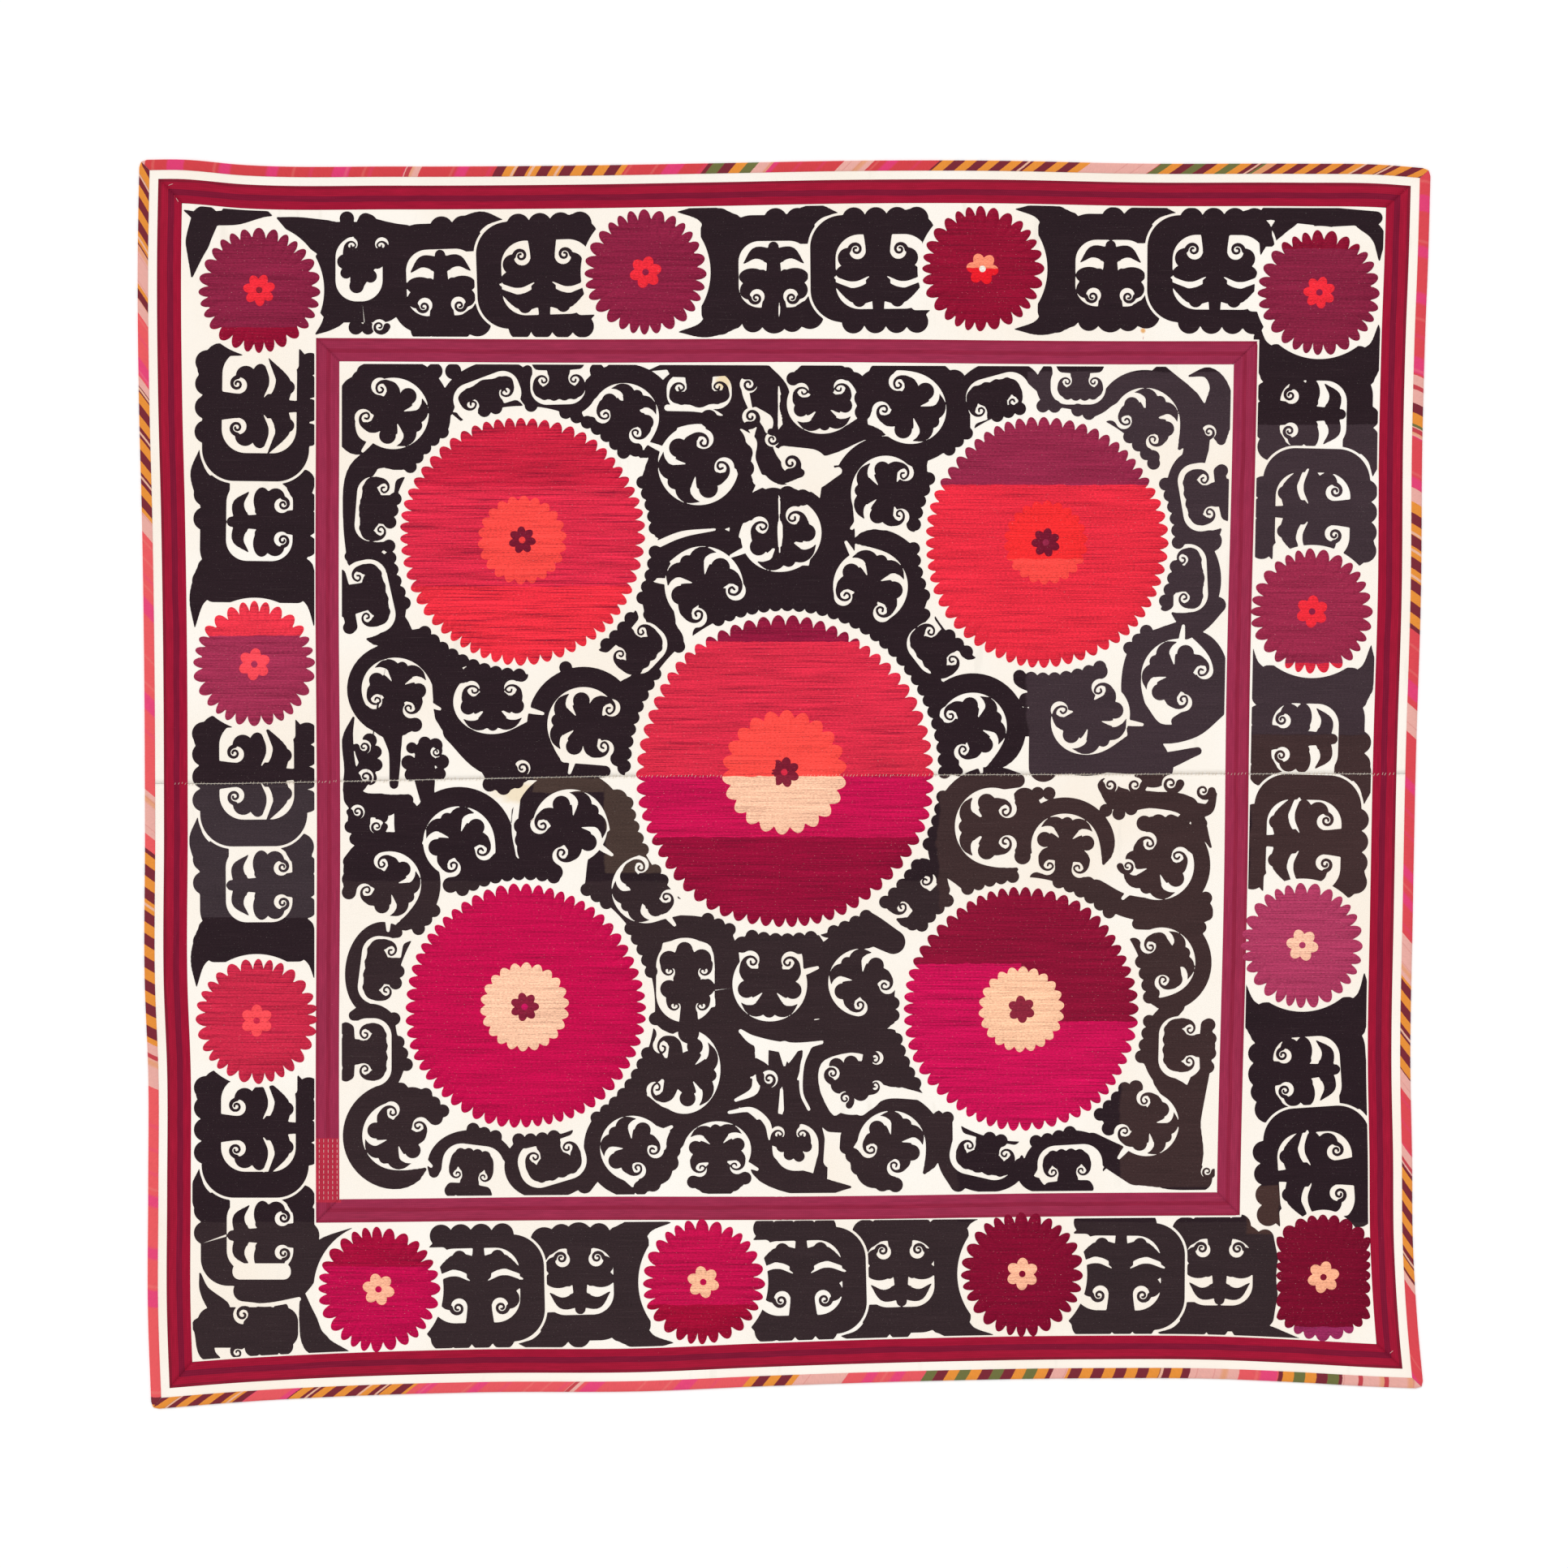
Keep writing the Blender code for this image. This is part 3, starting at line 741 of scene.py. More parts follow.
def ikat_finish(side):
    """Dyed cotton: the run picks one of four colourings, and each has slanting edges that feather."""
    finish = Finish(f"ikat_{side}", 0.75)
    along, depth = finish.uv()
    if side in ("left", "right"):
        along = LENGTH_OF[side] - along
    lean = 0.9 if side in ("top", "right") else -0.9
    feather = finish.noise(finish.spot(along * 60, depth * 900), 1.0, 3.0) * 0.0022
    slant = along + depth * lean + feather
    length = LENGTH_OF[side]
    kind = run_ramp(finish, slant * (1 / length), IKAT_RUNS[side], SIDE_START_PIXEL[side], length)
    block = finish.noise(finish.spot(slant * 26, 0.0), 1.0, 0.0)
    fine = finish.noise(finish.spot(slant * 70, 3.0), 1.0, 0.0)
    red = finish.mix(block.above(0.58, 0.05) * 0.75, SIDE_RED[side], "#e53f7f")
    red = finish.mix(fine.above(0.72, 0.12) * 0.25, red, "#f0a090")
    turn = (slant % (2 * STRIPE_WIDTH)).above(STRIPE_WIDTH, 0.0006)
    stripe = finish.mix(turn, "#e8913a", "#7a2a36")
    stripe = finish.mix(fine.above(0.70, 0.03), stripe, "#e8b49a")
    pale = finish.mix(block.above(0.62, 0.05), "#e9aca2", "#e39a6a")
    pale = finish.mix(fine.above(0.64, 0.03), pale, "#c4434c")
    green = finish.mix((slant % (3 * STRIPE_WIDTH)).above(2 * STRIPE_WIDTH, 0.0006), stripe, "#6f7040")
    colour = finish.mix(kind.above(0.2), red, stripe)
    colour = finish.mix(kind.above(0.5), colour, pale)
    colour = finish.mix(kind.above(0.8), colour, green)
    thread = finish.noise(finish.spot(along * 900, depth * 120), 1.0, 2.0)
    finish.colour(finish.shade(colour, 0.86 + thread * 0.3))
    finish.relief((along * 5600).wave() + thread, 0.0003, 0.4)
    return finish


for side, strip in strips.items():
    strip.data.materials.append(ikat_finish(side).material)
print("ikat strips:", list(strips))

# %% [markdown]
# Two frames of chain stitch hold the pattern: a wide red and plum one near the edge, and a plum one round
# the field. Chain stitch is worked in rows, so a frame is a low band with a ridge for every row. The links
# in a row are far smaller than the ridges, and are bump that follows the band's UV map.

# %% The chain stitch bands
STITCH_FOOT = 0.0009
STITCH_TOP = 0.0016
STITCH_SLOPE = 0.0010
CHAIN_ROW = 0.0036
OUTER_BAND_DEPTH = 0.031
OUTER_BAND_WIDTH = 0.039
INNER_BAND_WIDTH = 0.038
INNER_BOW = 0.0015
ROW_GROOVE = 0.00022
BAND_FOOT = STITCH_FOOT + 0.0001
BAND_STATIONS = 200
LINK_LENGTH = 0.0034


def band_profile(width):
    """Depths across a band and their heights: sloping edges, and a low ridge for each row between."""
    rows = round(width / CHAIN_ROW)
    inner = np.linspace(STITCH_SLOPE, width - STITCH_SLOPE, rows * 2 + 1)
    share = (inner - STITCH_SLOPE) / (width - 2 * STITCH_SLOPE)
    ridge = STITCH_TOP - ROW_GROOVE * (1 - np.abs(np.sin(np.pi * share * rows)))
    depths = np.concatenate(((0.0,), inner, (width,)))
    return depths, np.concatenate(((BAND_FOOT,), ridge, (BAND_FOOT,)))


def inset_corners(corners, depth):
    """A four-sided loop this far inside the given corners, kept parallel to its sides."""
    points = np.array(corners)
    to_next = np.roll(points, -1, axis=0) - points
    to_next /= np.linalg.norm(to_next, axis=1)[:, None]
    from_last = np.roll(to_next, 1, axis=0)
    inward_next = np.stack((-to_next[:, 1], to_next[:, 0]), axis=1)
    inward_last = np.stack((-from_last[:, 1], from_last[:, 0]), axis=1)
    share = 1 + (inward_next * inward_last).sum(axis=1)
    return points + depth * (inward_next + inward_last) / share[:, None]


print("profile of a band:", [len(part) for part in band_profile(OUTER_BAND_WIDTH)])

# %% [markdown]
# The outer frame bends with the edge, so its lines are lines of the cloth. The inner one is nearly
# straight. Both are made by the same function, which only asks for a line at each depth.

# %% The bands along their lines


def outer_line(side, depth, shares):
    return cloth.along_side(side, OUTER_BAND_DEPTH + depth, shares)


def inner_line(side, depth, shares):
    """A straight line between two of the inner frame's corners, at this depth, with a faint bow."""
    corner = inset_corners(INNER_BAND_CORNERS, depth)
    ends = {"bottom": (0, 1), "right": (1, 2), "top": (3, 2), "left": (0, 3)}[side]
    start, end = corner[ends[0]], corner[ends[1]]
    line = start + shares[:, None] * (end - start)
    level = side in ("top", "bottom")
    line[:, 1 if level else 0] += INNER_BOW * np.sin(shares * 9.0 + len(side)) * np.sin(np.pi * shares)
    return line


def make_band(name, side, width, line_at):
    """One side of a frame: its profile carried along lines at growing depth."""
    depths, heights = band_profile(width)
    shares = np.linspace(0, 1, BAND_STATIONS)
    if side in ("top", "left"):
        depths, heights = depths[::-1], heights[::-1]
    lines = np.array([line_at(side, depth, shares) for depth in depths])
    lie = lie_of(lines[..., 0], lines[..., 1])
    edge = np.minimum(shares, 1 - shares)[None] < 0.0005
    top = np.where(edge, BAND_FOOT, heights[:, None]) + lie
    low = np.full(lie.shape, STITCH_FOOT) + lie
    obj = slab(name, np.dstack((lines, top)), np.dstack((lines, low)))
    along = np.repeat((shares * np.linalg.norm(lines[0, -1] - lines[0, 0]))[None], len(depths), axis=0)
    across = np.repeat(depths[:, None], len(shares), axis=1)
    give_uv(obj, np.tile(across.ravel(), 2), np.tile(along.ravel(), 2))
    return obj


print("stations along a band:", BAND_STATIONS)

# %% [markdown]
# The frames' colour changes from row to row, since a row is sewn with one thread. Each row is a string of
# links. A wave along the row gives the links, and the distance from the row's middle makes them lean.

# %% The thread of the bands
MENDED_BOX = ((388, 1402), (420, 1481))
MENDED_RED = "#bc2d44"


def chain_finish(name, width, colours, edges, mended=False):
    """Chain stitch: coloured in rows, each row a string of links whose arms slant to its middle."""
    finish = Finish(name, 0.62)
    along, across = finish.uv()
    rows = round(width / CHAIN_ROW)
    row_place = across * (rows / width)
    off_middle = ((row_place % 1.0) - 0.5).math("ABSOLUTE")
    links = ((along * (1 / LINK_LENGTH) + off_middle * 1.3) * (2 * math.pi)).wave()
    tone = finish.noise(finish.spot(along * 25, row_place.math("FLOOR") * 3.7), 1.0, 2.0)
    shifted = across + (finish.noise(finish.spot(along * 9, 0.0), 1.0, 1.0) - 0.5) * 0.004
    colour = finish.plain(colours[0])
    for edge, next_colour in zip(edges, colours[1:]):
        colour = finish.mix(shifted.above(edge * width, 0.0004), colour, next_colour)
    if mended:
        (_, top), (right, bottom) = metres(MENDED_BOX).tolist()
        inside = finish.y.above(bottom, 0.001) * (top - finish.y).above(0.0, 0.001)
        inside = inside * (right - finish.x).above(0.0)
        colour = finish.mix(inside, colour, MENDED_RED)
    # Painted shade: the colour is made darker along the groove between two rows of chain stitch.
    row_groove_shade = off_middle.above(0.44, 0.1)
    light = 0.72 + tone * 0.5 + links * 0.05 - row_groove_shade * 0.22
    speck = finish.noise(finish.place, 620.0, 1.0).above(0.80, 0.03) * 0.35
    finish.colour(finish.mix(speck, finish.shade(colour, light), "#d99a9a"))
    finish.relief((1 - off_middle * 2) * 0.7 + links * 0.3, 0.0006, 0.6)
    return finish


OUTER_COLOURS = ("#89172f", "#a51434", "#811132", "#a31033")
OUTER_EDGES = (0.12, 0.42, 0.67)
INNER_COLOURS = ("#982644", "#9f2d4d", "#952341", "#a02d4e")
INNER_EDGES = (0.12, 0.45, 0.62)
outer_red = chain_finish("outer_chain_stitch", OUTER_BAND_WIDTH, OUTER_COLOURS, OUTER_EDGES)
inner_plum = chain_finish("inner_chain_stitch", INNER_BAND_WIDTH, INNER_COLOURS, INNER_EDGES, True)
bands = []
for side in SIDES:
    for name, width, line_at, finish in (
        ("frame_outer", OUTER_BAND_WIDTH, outer_line, outer_red),
        ("frame_inner", INNER_BAND_WIDTH, inner_line, inner_plum),
    ):
        band = make_band(f"{name}_{side}", side, width, line_at)
        band.data.materials.append(finish.material)
        bands.append(band)
print("bands:", len(bands), "with", round(OUTER_BAND_WIDTH / CHAIN_ROW), "rows of chain stitch each")

# %% [markdown]
# Seventeen rosettes carry the design: five large ones in the field and twelve small ones in the border.
# Each was worked with the thread that was at hand, so its colour changes on a level line where one dye
# lot ran out. One table holds them all, and both the rosettes and the scrollwork read it.

# %% The table of rosettes


class Zone(NamedTuple):
    """A dye lot of thread: the pixel row down to which it was used, and its colour."""

    down_to: float
    colour: str


BOTTOM = 9999


def dyed(*parts):
    """Dye lots from the top down: colours, with the pixel row between each two where they change."""
    return tuple(Zone(*pair) for pair in zip((*parts[1::2], BOTTOM), parts[::2]))


class Rosette(NamedTuple):
    """A rosette: its middle and half sizes in pixels, its petals, its dye lots, and how streaky it is."""

    name: str
    x: float
    y: float
    wide: float
    high: float
    petals: int
    zones: tuple
    streaks: float
    heart: float = 0.0
    heart_zones: tuple = ()
    flower: float = 20.0
    flower_petals: int = 7
    flower_zones: tuple = dyed("#f02a38")
    eye: str = "#8a1c3e"
    step: float = 0.0
    flat: float = 0.0


ROSETTES = (
    Rosette("field_upper_left", 643, 665, 152.3, 154.2, 60, dyed("#c71e3b", 598, "#d92844", 722, "#ec2d3e"),
        1.0, 55, dyed("#fe4a44"), 17, 7, dyed("#75132c"), "#f0403e"),
    Rosette("field_upper_right", 1288, 668, 151.1, 156.1, 60, dyed("#942546", 597, "#e72a3e"), 0.4, 52,
        dyed("#f62b2e", 688, "#fe4a44"), 18, 7, dyed("#73112c"), "#942546"),
    Rosette("field_centre", 966, 951, 185.2, 194.3, 66,
        dyed("#8e1238", 790, "#d92a44", 956, "#c50a4b", 1031, "#930533"), 0.7, 77,
        dyed("#fe4b44", 956, "#ffc8a7"), 19, 7, dyed("#79172d", 955, "#862136"), "#d72843"),
    Rosette("field_lower_left", 646, 1240, 149.6, 151.9, 60, dyed("#c30348"), 0.35, 55,
        dyed("#fec8a7"), 18, 7, dyed("#871c37"), "#c8105a"),
    Rosette("field_lower_right", 1258, 1243, 146.2, 151.9, 58, dyed("#890930", 1187, "#c90950"), 0.6, 53,
        dyed("#fec6a1"), 17, 6, dyed("#892338"), "#892338", 71),
    Rosette("border_corner_upper_left", 319, 357, 76, 78, 28, dyed("#881e3f", 403, "#960930"), 0.5,
        eye="#8a1a2c"),
    Rosette("border_top_left", 795, 335, 76, 78, 28, dyed("#8a1c3e"), 0.4, flower_petals=6),
    Rosette("border_top_right", 1210, 331, 76, 78, 28, dyed("#90092e"), 0.5, flower_petals=6,
        flower_zones=dyed("#fd9170", 330, "#ea1826"), eye="#f4ece0"),
    Rosette("border_corner_upper_right", 1625, 360, 76, 78, 28, dyed("#88092c", 306, "#851e3d"), 0.4),
    Rosette("border_right_upper", 1616, 753, 76, 78, 28, dyed("#992747", 817, "#e02a40"), 0.3,
        flower_petals=6),
    Rosette("border_right_lower", 1604, 1164, 76, 78, 28, dyed("#ae395f"), 0.4, flower_petals=6,
        flower_zones=dyed("#fdc5a7"), eye="#ae395f"),
    Rosette("border_corner_lower_right", 1630, 1573, 76, 79, 28, dyed("#770327", 1634, "#98285a"), 0.3,
        flower_petals=6, flower_zones=dyed("#fcb28d"), eye="#7e112b", flat=58),
    Rosette("border_bottom_right", 1259, 1569, 76, 78, 28, dyed("#81032b"), 0.3, flower_petals=6,
        flower_zones=dyed("#fdb997"), eye="#81032b"),
    Rosette("border_bottom_middle", 866, 1579, 76, 78, 28, dyed("#bf0747", 1607, "#9c032f"), 0.5,
        flower_petals=6, flower_zones=dyed("#febf99"), eye="#bf0747"),
    Rosette("border_bottom_left", 466, 1588, 76, 78, 28, dyed("#a20335", 1560, "#bd0348"), 0.5,
        flower_petals=6, flower_zones=dyed("#feb896"), eye="#bd0348"),
    Rosette("border_left_lower", 316, 1257, 76, 78, 28, dyed("#c82644"), 0.6, flower_petals=6,
        flower_zones=dyed("#fc4d54"), eye="#c82644"),
    Rosette("border_left_upper", 313, 818, 76, 78, 28, dyed("#ea3446", 783, "#a12e50"), 0.5, flower_petals=6,
        flower_zones=dyed("#fc4a55"), eye="#a12e50"),
)
print("rosettes:", len(ROSETTES), "with", sum(row.petals for row in ROSETTES), "petals")

# %% [markdown]
# The rosettes are suns of laid thread: long stitches side by side, tied down in a fine slanting grid. Their
# edges are scalloped in dozens of small petals. A rosette is a thin closed cushion on a polar grid: the
# outline gives the radius at each angle, and rings of points run in from it. The heart and the flower in
# the middle are smaller cushions that lie a thread higher.

# %% The rosettes as cushions
LARGE_CUSHION = 0.12
NEAR_FOLD = 0.1


def petal_edge(angles, petals, notch, turn=0.0, roundness=0.55):
    """The outline's share of the full radius: 1 at a petal's tip, less the notch between two petals."""
    return 1 - notch * (1 - np.abs(np.cos((angles - turn) * petals / 2)) ** roundness)


def ring_count(centre, half_size):
    """Few rings for a small cushion, and the most for the large one that lies over the fold line."""
    if half_size < LARGE_CUSHION:
        return 3
    return 12 if abs(centre[0]) < NEAR_FOLD else 6


def make_cushion(name, centre, half_sizes, edge, low, high, angles):
    """A closed disc: rings of points from the middle to the edge above, and back to the middle below."""
    inset = STITCH_SLOPE * 0.7 / max(half_sizes)
    shares = np.linspace(0.12, 1.0, ring_count(centre, max(half_sizes)))
    rings = [(share * (1 - inset), high) for share in shares]
    rings += [(1.0, low + 0.0001), (1.0, low), (0.5, low)]
    directions = np.stack((np.cos(angles), np.sin(angles)), axis=1)
    points = []
    for share, height in rings:
        spots = np.asarray(centre) + directions * np.asarray(half_sizes) * (edge * share)[:, None]
        points.append(np.column_stack((spots, height + lie_of(spots[:, 0], spots[:, 1]))))
    middle_lie = float(lie_of(centre[0], centre[1]))
    count = len(angles)
    total = len(rings) * count
    poles = np.array(((*centre, high + middle_lie), (*centre, low + middle_lie)))
    quads = grid_faces(len(rings), count, close_columns=True)
    triangles = np.concatenate((quads[:, (0, 2, 1)], quads[:, (0, 3, 2)]))
    here = np.arange(count)
    after = (here + 1) % count
    cap = np.stack((np.full(count, total), here, after), axis=1)
    last = (len(rings) - 1) * count
    floor = np.stack((np.full(count, total + 1), last + after, last + here), axis=1)
    everything = np.concatenate((np.concatenate(points), poles))
    return mesh_object(name, everything, np.concatenate((triangles, cap, floor)))


print("a petal is deepest at", round(float(petal_edge(np.array(np.pi / 60), 60, 0.1)), 3), "of the radius")

# %% [markdown]
# Laid thread is even but never flat: its colour is streaked along the stitches, and where a dye lot ends
# the line is level but ragged. In one rosette the line jumps at the middle, as it was sewn in two halves.

# %% Laid thread and its dye lots
FIELD_NOTCH = 13.0
BORDER_NOTCH = 15.0
HEART_PETALS = 22
EYE_RADIUS = 4.2
EYE_POINTS = 48
SUNK = 0.0002
LAYER = 0.0003


def laid_finish(name, zones, streaks, middle_x=0.0, step=0.0):
    """Laid thread: dye lots with ragged level edges, darker and lighter streaks, and a slanting tie-down."""
    finish = Finish(name, 0.6)
    ragged = (finish.noise(finish.spot(finish.x * 45, finish.y * 160), 1.0, 3.0) - 0.5) * 0.006
    level = finish.y + ragged + (finish.x - middle_x).above(0.0, 0.0004) * (step * METRES_PER_PIXEL)
    colour = finish.plain(zones[-1].colour)
    for zone in reversed(zones[:-1]):
        edge = float(metres((0, zone.down_to))[1])
        colour = finish.mix(level.above(edge, 0.0006), colour, zone.colour)
    thread = finish.noise(finish.spot(finish.x * 9, finish.y * 520), 1.0, 3.0, 0.6)
    broad = finish.noise(finish.spot(finish.x * 3, finish.y * 95 + finish.x * 2), 1.0, 2.0)
    tie = ((finish.x * 0.5 + finish.y) * 3100).wave() * ((finish.x * 2 - finish.y * 0.6) * 900).wave()
    grain = finish.noise(finish.spot(finish.x * 240, finish.y * 640), 1.0, 2.0, 0.7)
    light = 1.0 + (thread - 0.5) * (1.3 * streaks + 0.9) + (broad - 0.5) * (0.6 * streaks + 0.2)
    light = light + (grain - 0.5) * 1.5 + tie * 0.03
    dark = (0.40 - thread).above(0.0, 0.06) * (0.55 * streaks)
    colour = finish.mix(dark, finish.shade(colour, light), "#7a0c32")
    fleck = finish.noise(finish.spot(finish.x * 330, finish.y * 700), 1.0, 1.0).above(0.74, 0.03) * 0.55
    finish.colour(finish.mix(fleck, colour, "#e0a0a0"))
    finish.relief(thread + tie * 0.3, 0.0006, 0.55)
    return finish


print("notches:", FIELD_NOTCH, BORDER_NOTCH, "pixels")

# %% [markdown]
# Each row of the table becomes a stack of cushions: the sun, a heart on the five large ones, a flower and
# an eye. A random number generator that starts from the row's own place makes each outline a little uneven,
# and gives the same outline every time.

# %% All the rosettes


def small_layer(kind, row, radius, edge, angles, levels, zones, streaks):
    """A round cushion on a rosette, between the two levels: its piece and its finish."""
    size = np.full(2, radius * METRES_PER_PIXEL)
    middle = metres((row.x, row.y))
    piece = make_cushion(f"{kind}_{row.name}", middle, size, edge, *levels, angles)
    return piece, laid_finish(f"{kind}_laid_{row.name}", zones, streaks)


def turn_angles(count):
    return np.linspace(0, 2 * math.pi, count, endpoint=False)


rosette_pieces = []
for row in ROSETTES:
    centre = metres((row.x, row.y))
    sizes = np.array((row.wide, row.high)) * METRES_PER_PIXEL
    notch = (FIELD_NOTCH if row.heart else BORDER_NOTCH) / row.wide
    rng = np.random.default_rng(int(row.x))
    angles = turn_angles(row.petals * 12)
    uneven = 1 + 0.009 * np.sin(angles * 3 + rng.uniform(0, 6))
    uneven = uneven + 0.006 * np.sin(angles * 7 + rng.uniform(0, 6))
    swing = angles + 0.25 / row.petals * np.sin(angles * 5 + rng.uniform(0, 6)) * 4
    reach = uneven / 1.01
    if row.flat:
        reach = np.minimum(reach, row.flat / row.wide / np.maximum(np.abs(np.cos(angles)), 0.01))
        notch = notch * 0.6
    edge = petal_edge(swing, row.petals, notch) * reach
    sun = make_cushion(f"rosette_{row.name}", centre, sizes, edge, STITCH_FOOT, STITCH_TOP, angles)
    layers = [(sun, laid_finish(f"laid_{row.name}", row.zones, row.streaks, float(centre[0]), row.step))]
    if row.heart:
        angles = turn_angles(HEART_PETALS * 12)
        edge = petal_edge(angles, HEART_PETALS, 0.13, 0.1, 0.8)
        levels = (STITCH_TOP - SUNK, STITCH_TOP + LAYER)
        layers.append(
            small_layer("heart", row, row.heart, edge, angles, levels, row.heart_zones, row.streaks * 0.4)
        )
    raised = STITCH_TOP + (LAYER if row.heart else 0)
    angles = turn_angles(row.flower_petals * 20)
    edge = petal_edge(angles, row.flower_petals, 0.32, rng.uniform(0, 1), 0.9)
    levels = (raised - SUNK, raised + LAYER)
    layers.append(small_layer("flower", row, row.flower, edge, angles, levels, row.flower_zones, 0.2))
    levels = (raised + 0.0001, raised + 0.0005)
    angles = turn_angles(EYE_POINTS)
    edge = np.ones(EYE_POINTS)
    layers.append(small_layer("eye", row, EYE_RADIUS, edge, angles, levels, dyed(row.eye), 0.1))
    for piece, finish in layers:
        piece.data.materials.append(finish.material)
        rosette_pieces.append(piece)
print("cushions:", len(rosette_pieces))

# %% [markdown]
# The black scrollwork is drawn before it is raised. A drawing is a distance field on a grid over the cloth:
# at each place it holds how far the nearest edge of the thread is, below 0 in the thread and above 0 on the
# bare cotton. Two drawings join by the smaller value at each place, and one cuts the other by the larger.
# So the motifs are put together from discs, ovals, blocks and strokes, in the order in which they are sewn.

# %% A drawing made of distances
FAR = 60.0
DRAWN_MARGIN = 12


class Drawing:
    """A field over the cloth: below 0 is thread, above 0 is bare cotton, and its size is the distance."""

    def __init__(self, left, top, right, bottom, step):
        self.x = np.arange(left, right + step, step, dtype=np.float32)
        self.y = np.arange(top, bottom + step, step, dtype=np.float32)
        self.step = step
        self.field = np.full((len(self.y), len(self.x)), FAR, np.float32)

    def window(self, low, high, spare):
        i0, i1 = np.searchsorted(self.x, (low[0] - spare, high[0] + spare))
        j0, j1 = np.searchsorted(self.y, (low[1] - spare, high[1] + spare))
        return slice(j0, j1), slice(i0, i1)

    def add(self, shape, gap=0.0):
        """Thread laid over what is there, with a bare channel of this width cut round it first."""
        low, high, distance = shape
        rows, columns = self.window(low, high, DRAWN_MARGIN + gap)
        there = distance(self.x[None, columns], self.y[rows, None])
        part = self.field[rows, columns]
        if gap:
            part = np.maximum(part, gap - there)
        self.field[rows, columns] = np.minimum(part, there)

    def cut(self, shape):
        """Bare cotton left open through the thread."""
        low, high, distance = shape
        rows, columns = self.window(low, high, DRAWN_MARGIN)
        there = distance(self.x[None, columns], self.y[rows, None])
        self.field[rows, columns] = np.maximum(self.field[rows, columns], -there)


print("bare cotton counts as", FAR, "pixels away")

# %% [markdown]
# A shape is a box that it lies in and a function that gives the distance to its edge. The box keeps the
# work small: only the part of the drawing near the shape is touched.

# %% Discs, ovals and blocks


def disc(x, y, radius):
    """The distance to a point, less the radius."""
    low = (x - radius, y - radius)
    high = (x + radius, y + radius)
    return low, high, lambda X, Y: np.hypot(X - x, Y - y) - radius


def oval(x, y, half_wide, half_high, turn=0.0):
    """A disc in coordinates turned and squeezed onto a circle, scaled back by its smaller half size."""
    c, s = math.cos(turn), math.sin(turn)
    reach = max(half_wide, half_high)
    small = min(half_wide, half_high)

    def distance(X, Y):
        across = ((X - x) * c + (Y - y) * s) / half_wide
        along = ((Y - y) * c - (X - x) * s) / half_high
        return (np.hypot(across, along) - 1) * small

    return (x - reach, y - reach), (x + reach, y + reach), distance


def block(x, y, half_wide, half_high, corner, turn=0.0):
    """A rounded rectangle: the distance to a smaller one, less its corner radius."""
    c, s = math.cos(turn), math.sin(turn)
    reach = math.hypot(half_wide, half_high)

    def distance(X, Y):
        across = np.abs((X - x) * c + (Y - y) * s) - (half_wide - corner)
        along = np.abs((Y - y) * c - (X - x) * s) - (half_high - corner)
        outside = np.hypot(np.maximum(across, 0), np.maximum(along, 0))
        return outside + np.minimum(np.maximum(across, along), 0) - corner

    return (x - reach, y - reach), (x + reach, y + reach), distance


print("middle of a disc of 5:", float(disc(0, 0, 5)[2](0.0, 0.0)))

# %% [markdown]
# A stem is a stroke: a smooth curve through a few places, cut into short stretches, each with its own width
# at both ends. A spiral is a stroke whose places wind inwards.

# %% Strokes and spirals


def curve_through(points, count):
    """A smooth curve through a few points: each stretch is a cubic with slopes from its neighbours."""
    points = np.asarray(points, float)
    if len(points) == 2:
        return np.linspace(points[0], points[1], count)
    slopes = np.gradient(points, axis=0)
    at = np.linspace(0, len(points) - 1, count)
    left = np.minimum(at.astype(int), len(points) - 2)
    t = (at - left)[:, None]
    rise = 3 * t**2 - 2 * t**3
    start, end = points[left], points[left + 1]
    first, last = slopes[left], slopes[left + 1]
    return start * (1 - rise) + end * rise + first * (t**3 - 2 * t**2 + t) + last * (t**3 - t**2)


def stroke(points, widths, count=14):
    """A line of changing width: the distance to each short stretch, less the half width there."""
    line = curve_through(points, count)
    at = np.linspace(0, 1, count)
    half = np.interp(at, np.linspace(0, 1, len(widths)), widths) / 2
    start, run = line[:-1], np.diff(line, axis=0)
    square = np.maximum((run**2).sum(axis=1), 1e-9)

    def distance(X, Y):
        best = FAR
        for k in range(len(start)):
            t = ((X - start[k, 0]) * run[k, 0] + (Y - start[k, 1]) * run[k, 1]) / square[k]
            t = np.clip(t, 0, 1)
            away = np.hypot(X - start[k, 0] - t * run[k, 0], Y - start[k, 1] - t * run[k, 1])
            best = np.minimum(best, away - half[k] - t * (half[k + 1] - half[k]))
        return best

    reach = half.max()
    return line.min(axis=0) - reach, line.max(axis=0) + reach, distance


def spiral(x, y, start_radius, end_radius, start_angle, sweep, widths, count=22):
    """A stroke along a spiral whose radius shrinks evenly with its angle."""
    share = np.linspace(0, 1, count)
    radius = start_radius + (end_radius - start_radius) * share**0.8
    angle = start_angle + sweep * share
    points = np.stack((x + radius * np.cos(angle), y + radius * np.sin(angle)), axis=1)
    return stroke(points, widths, count)


print("a curve through two places:", curve_through(((0, 0), (4, 2)), 3).tolist())

# %% [markdown]
# The same motif comes back at many places, turned and stretched. So a motif is drawn in axes of its own,
# and a frame turns its places, widths and angles into the drawing's.

# %% A motif's own axes


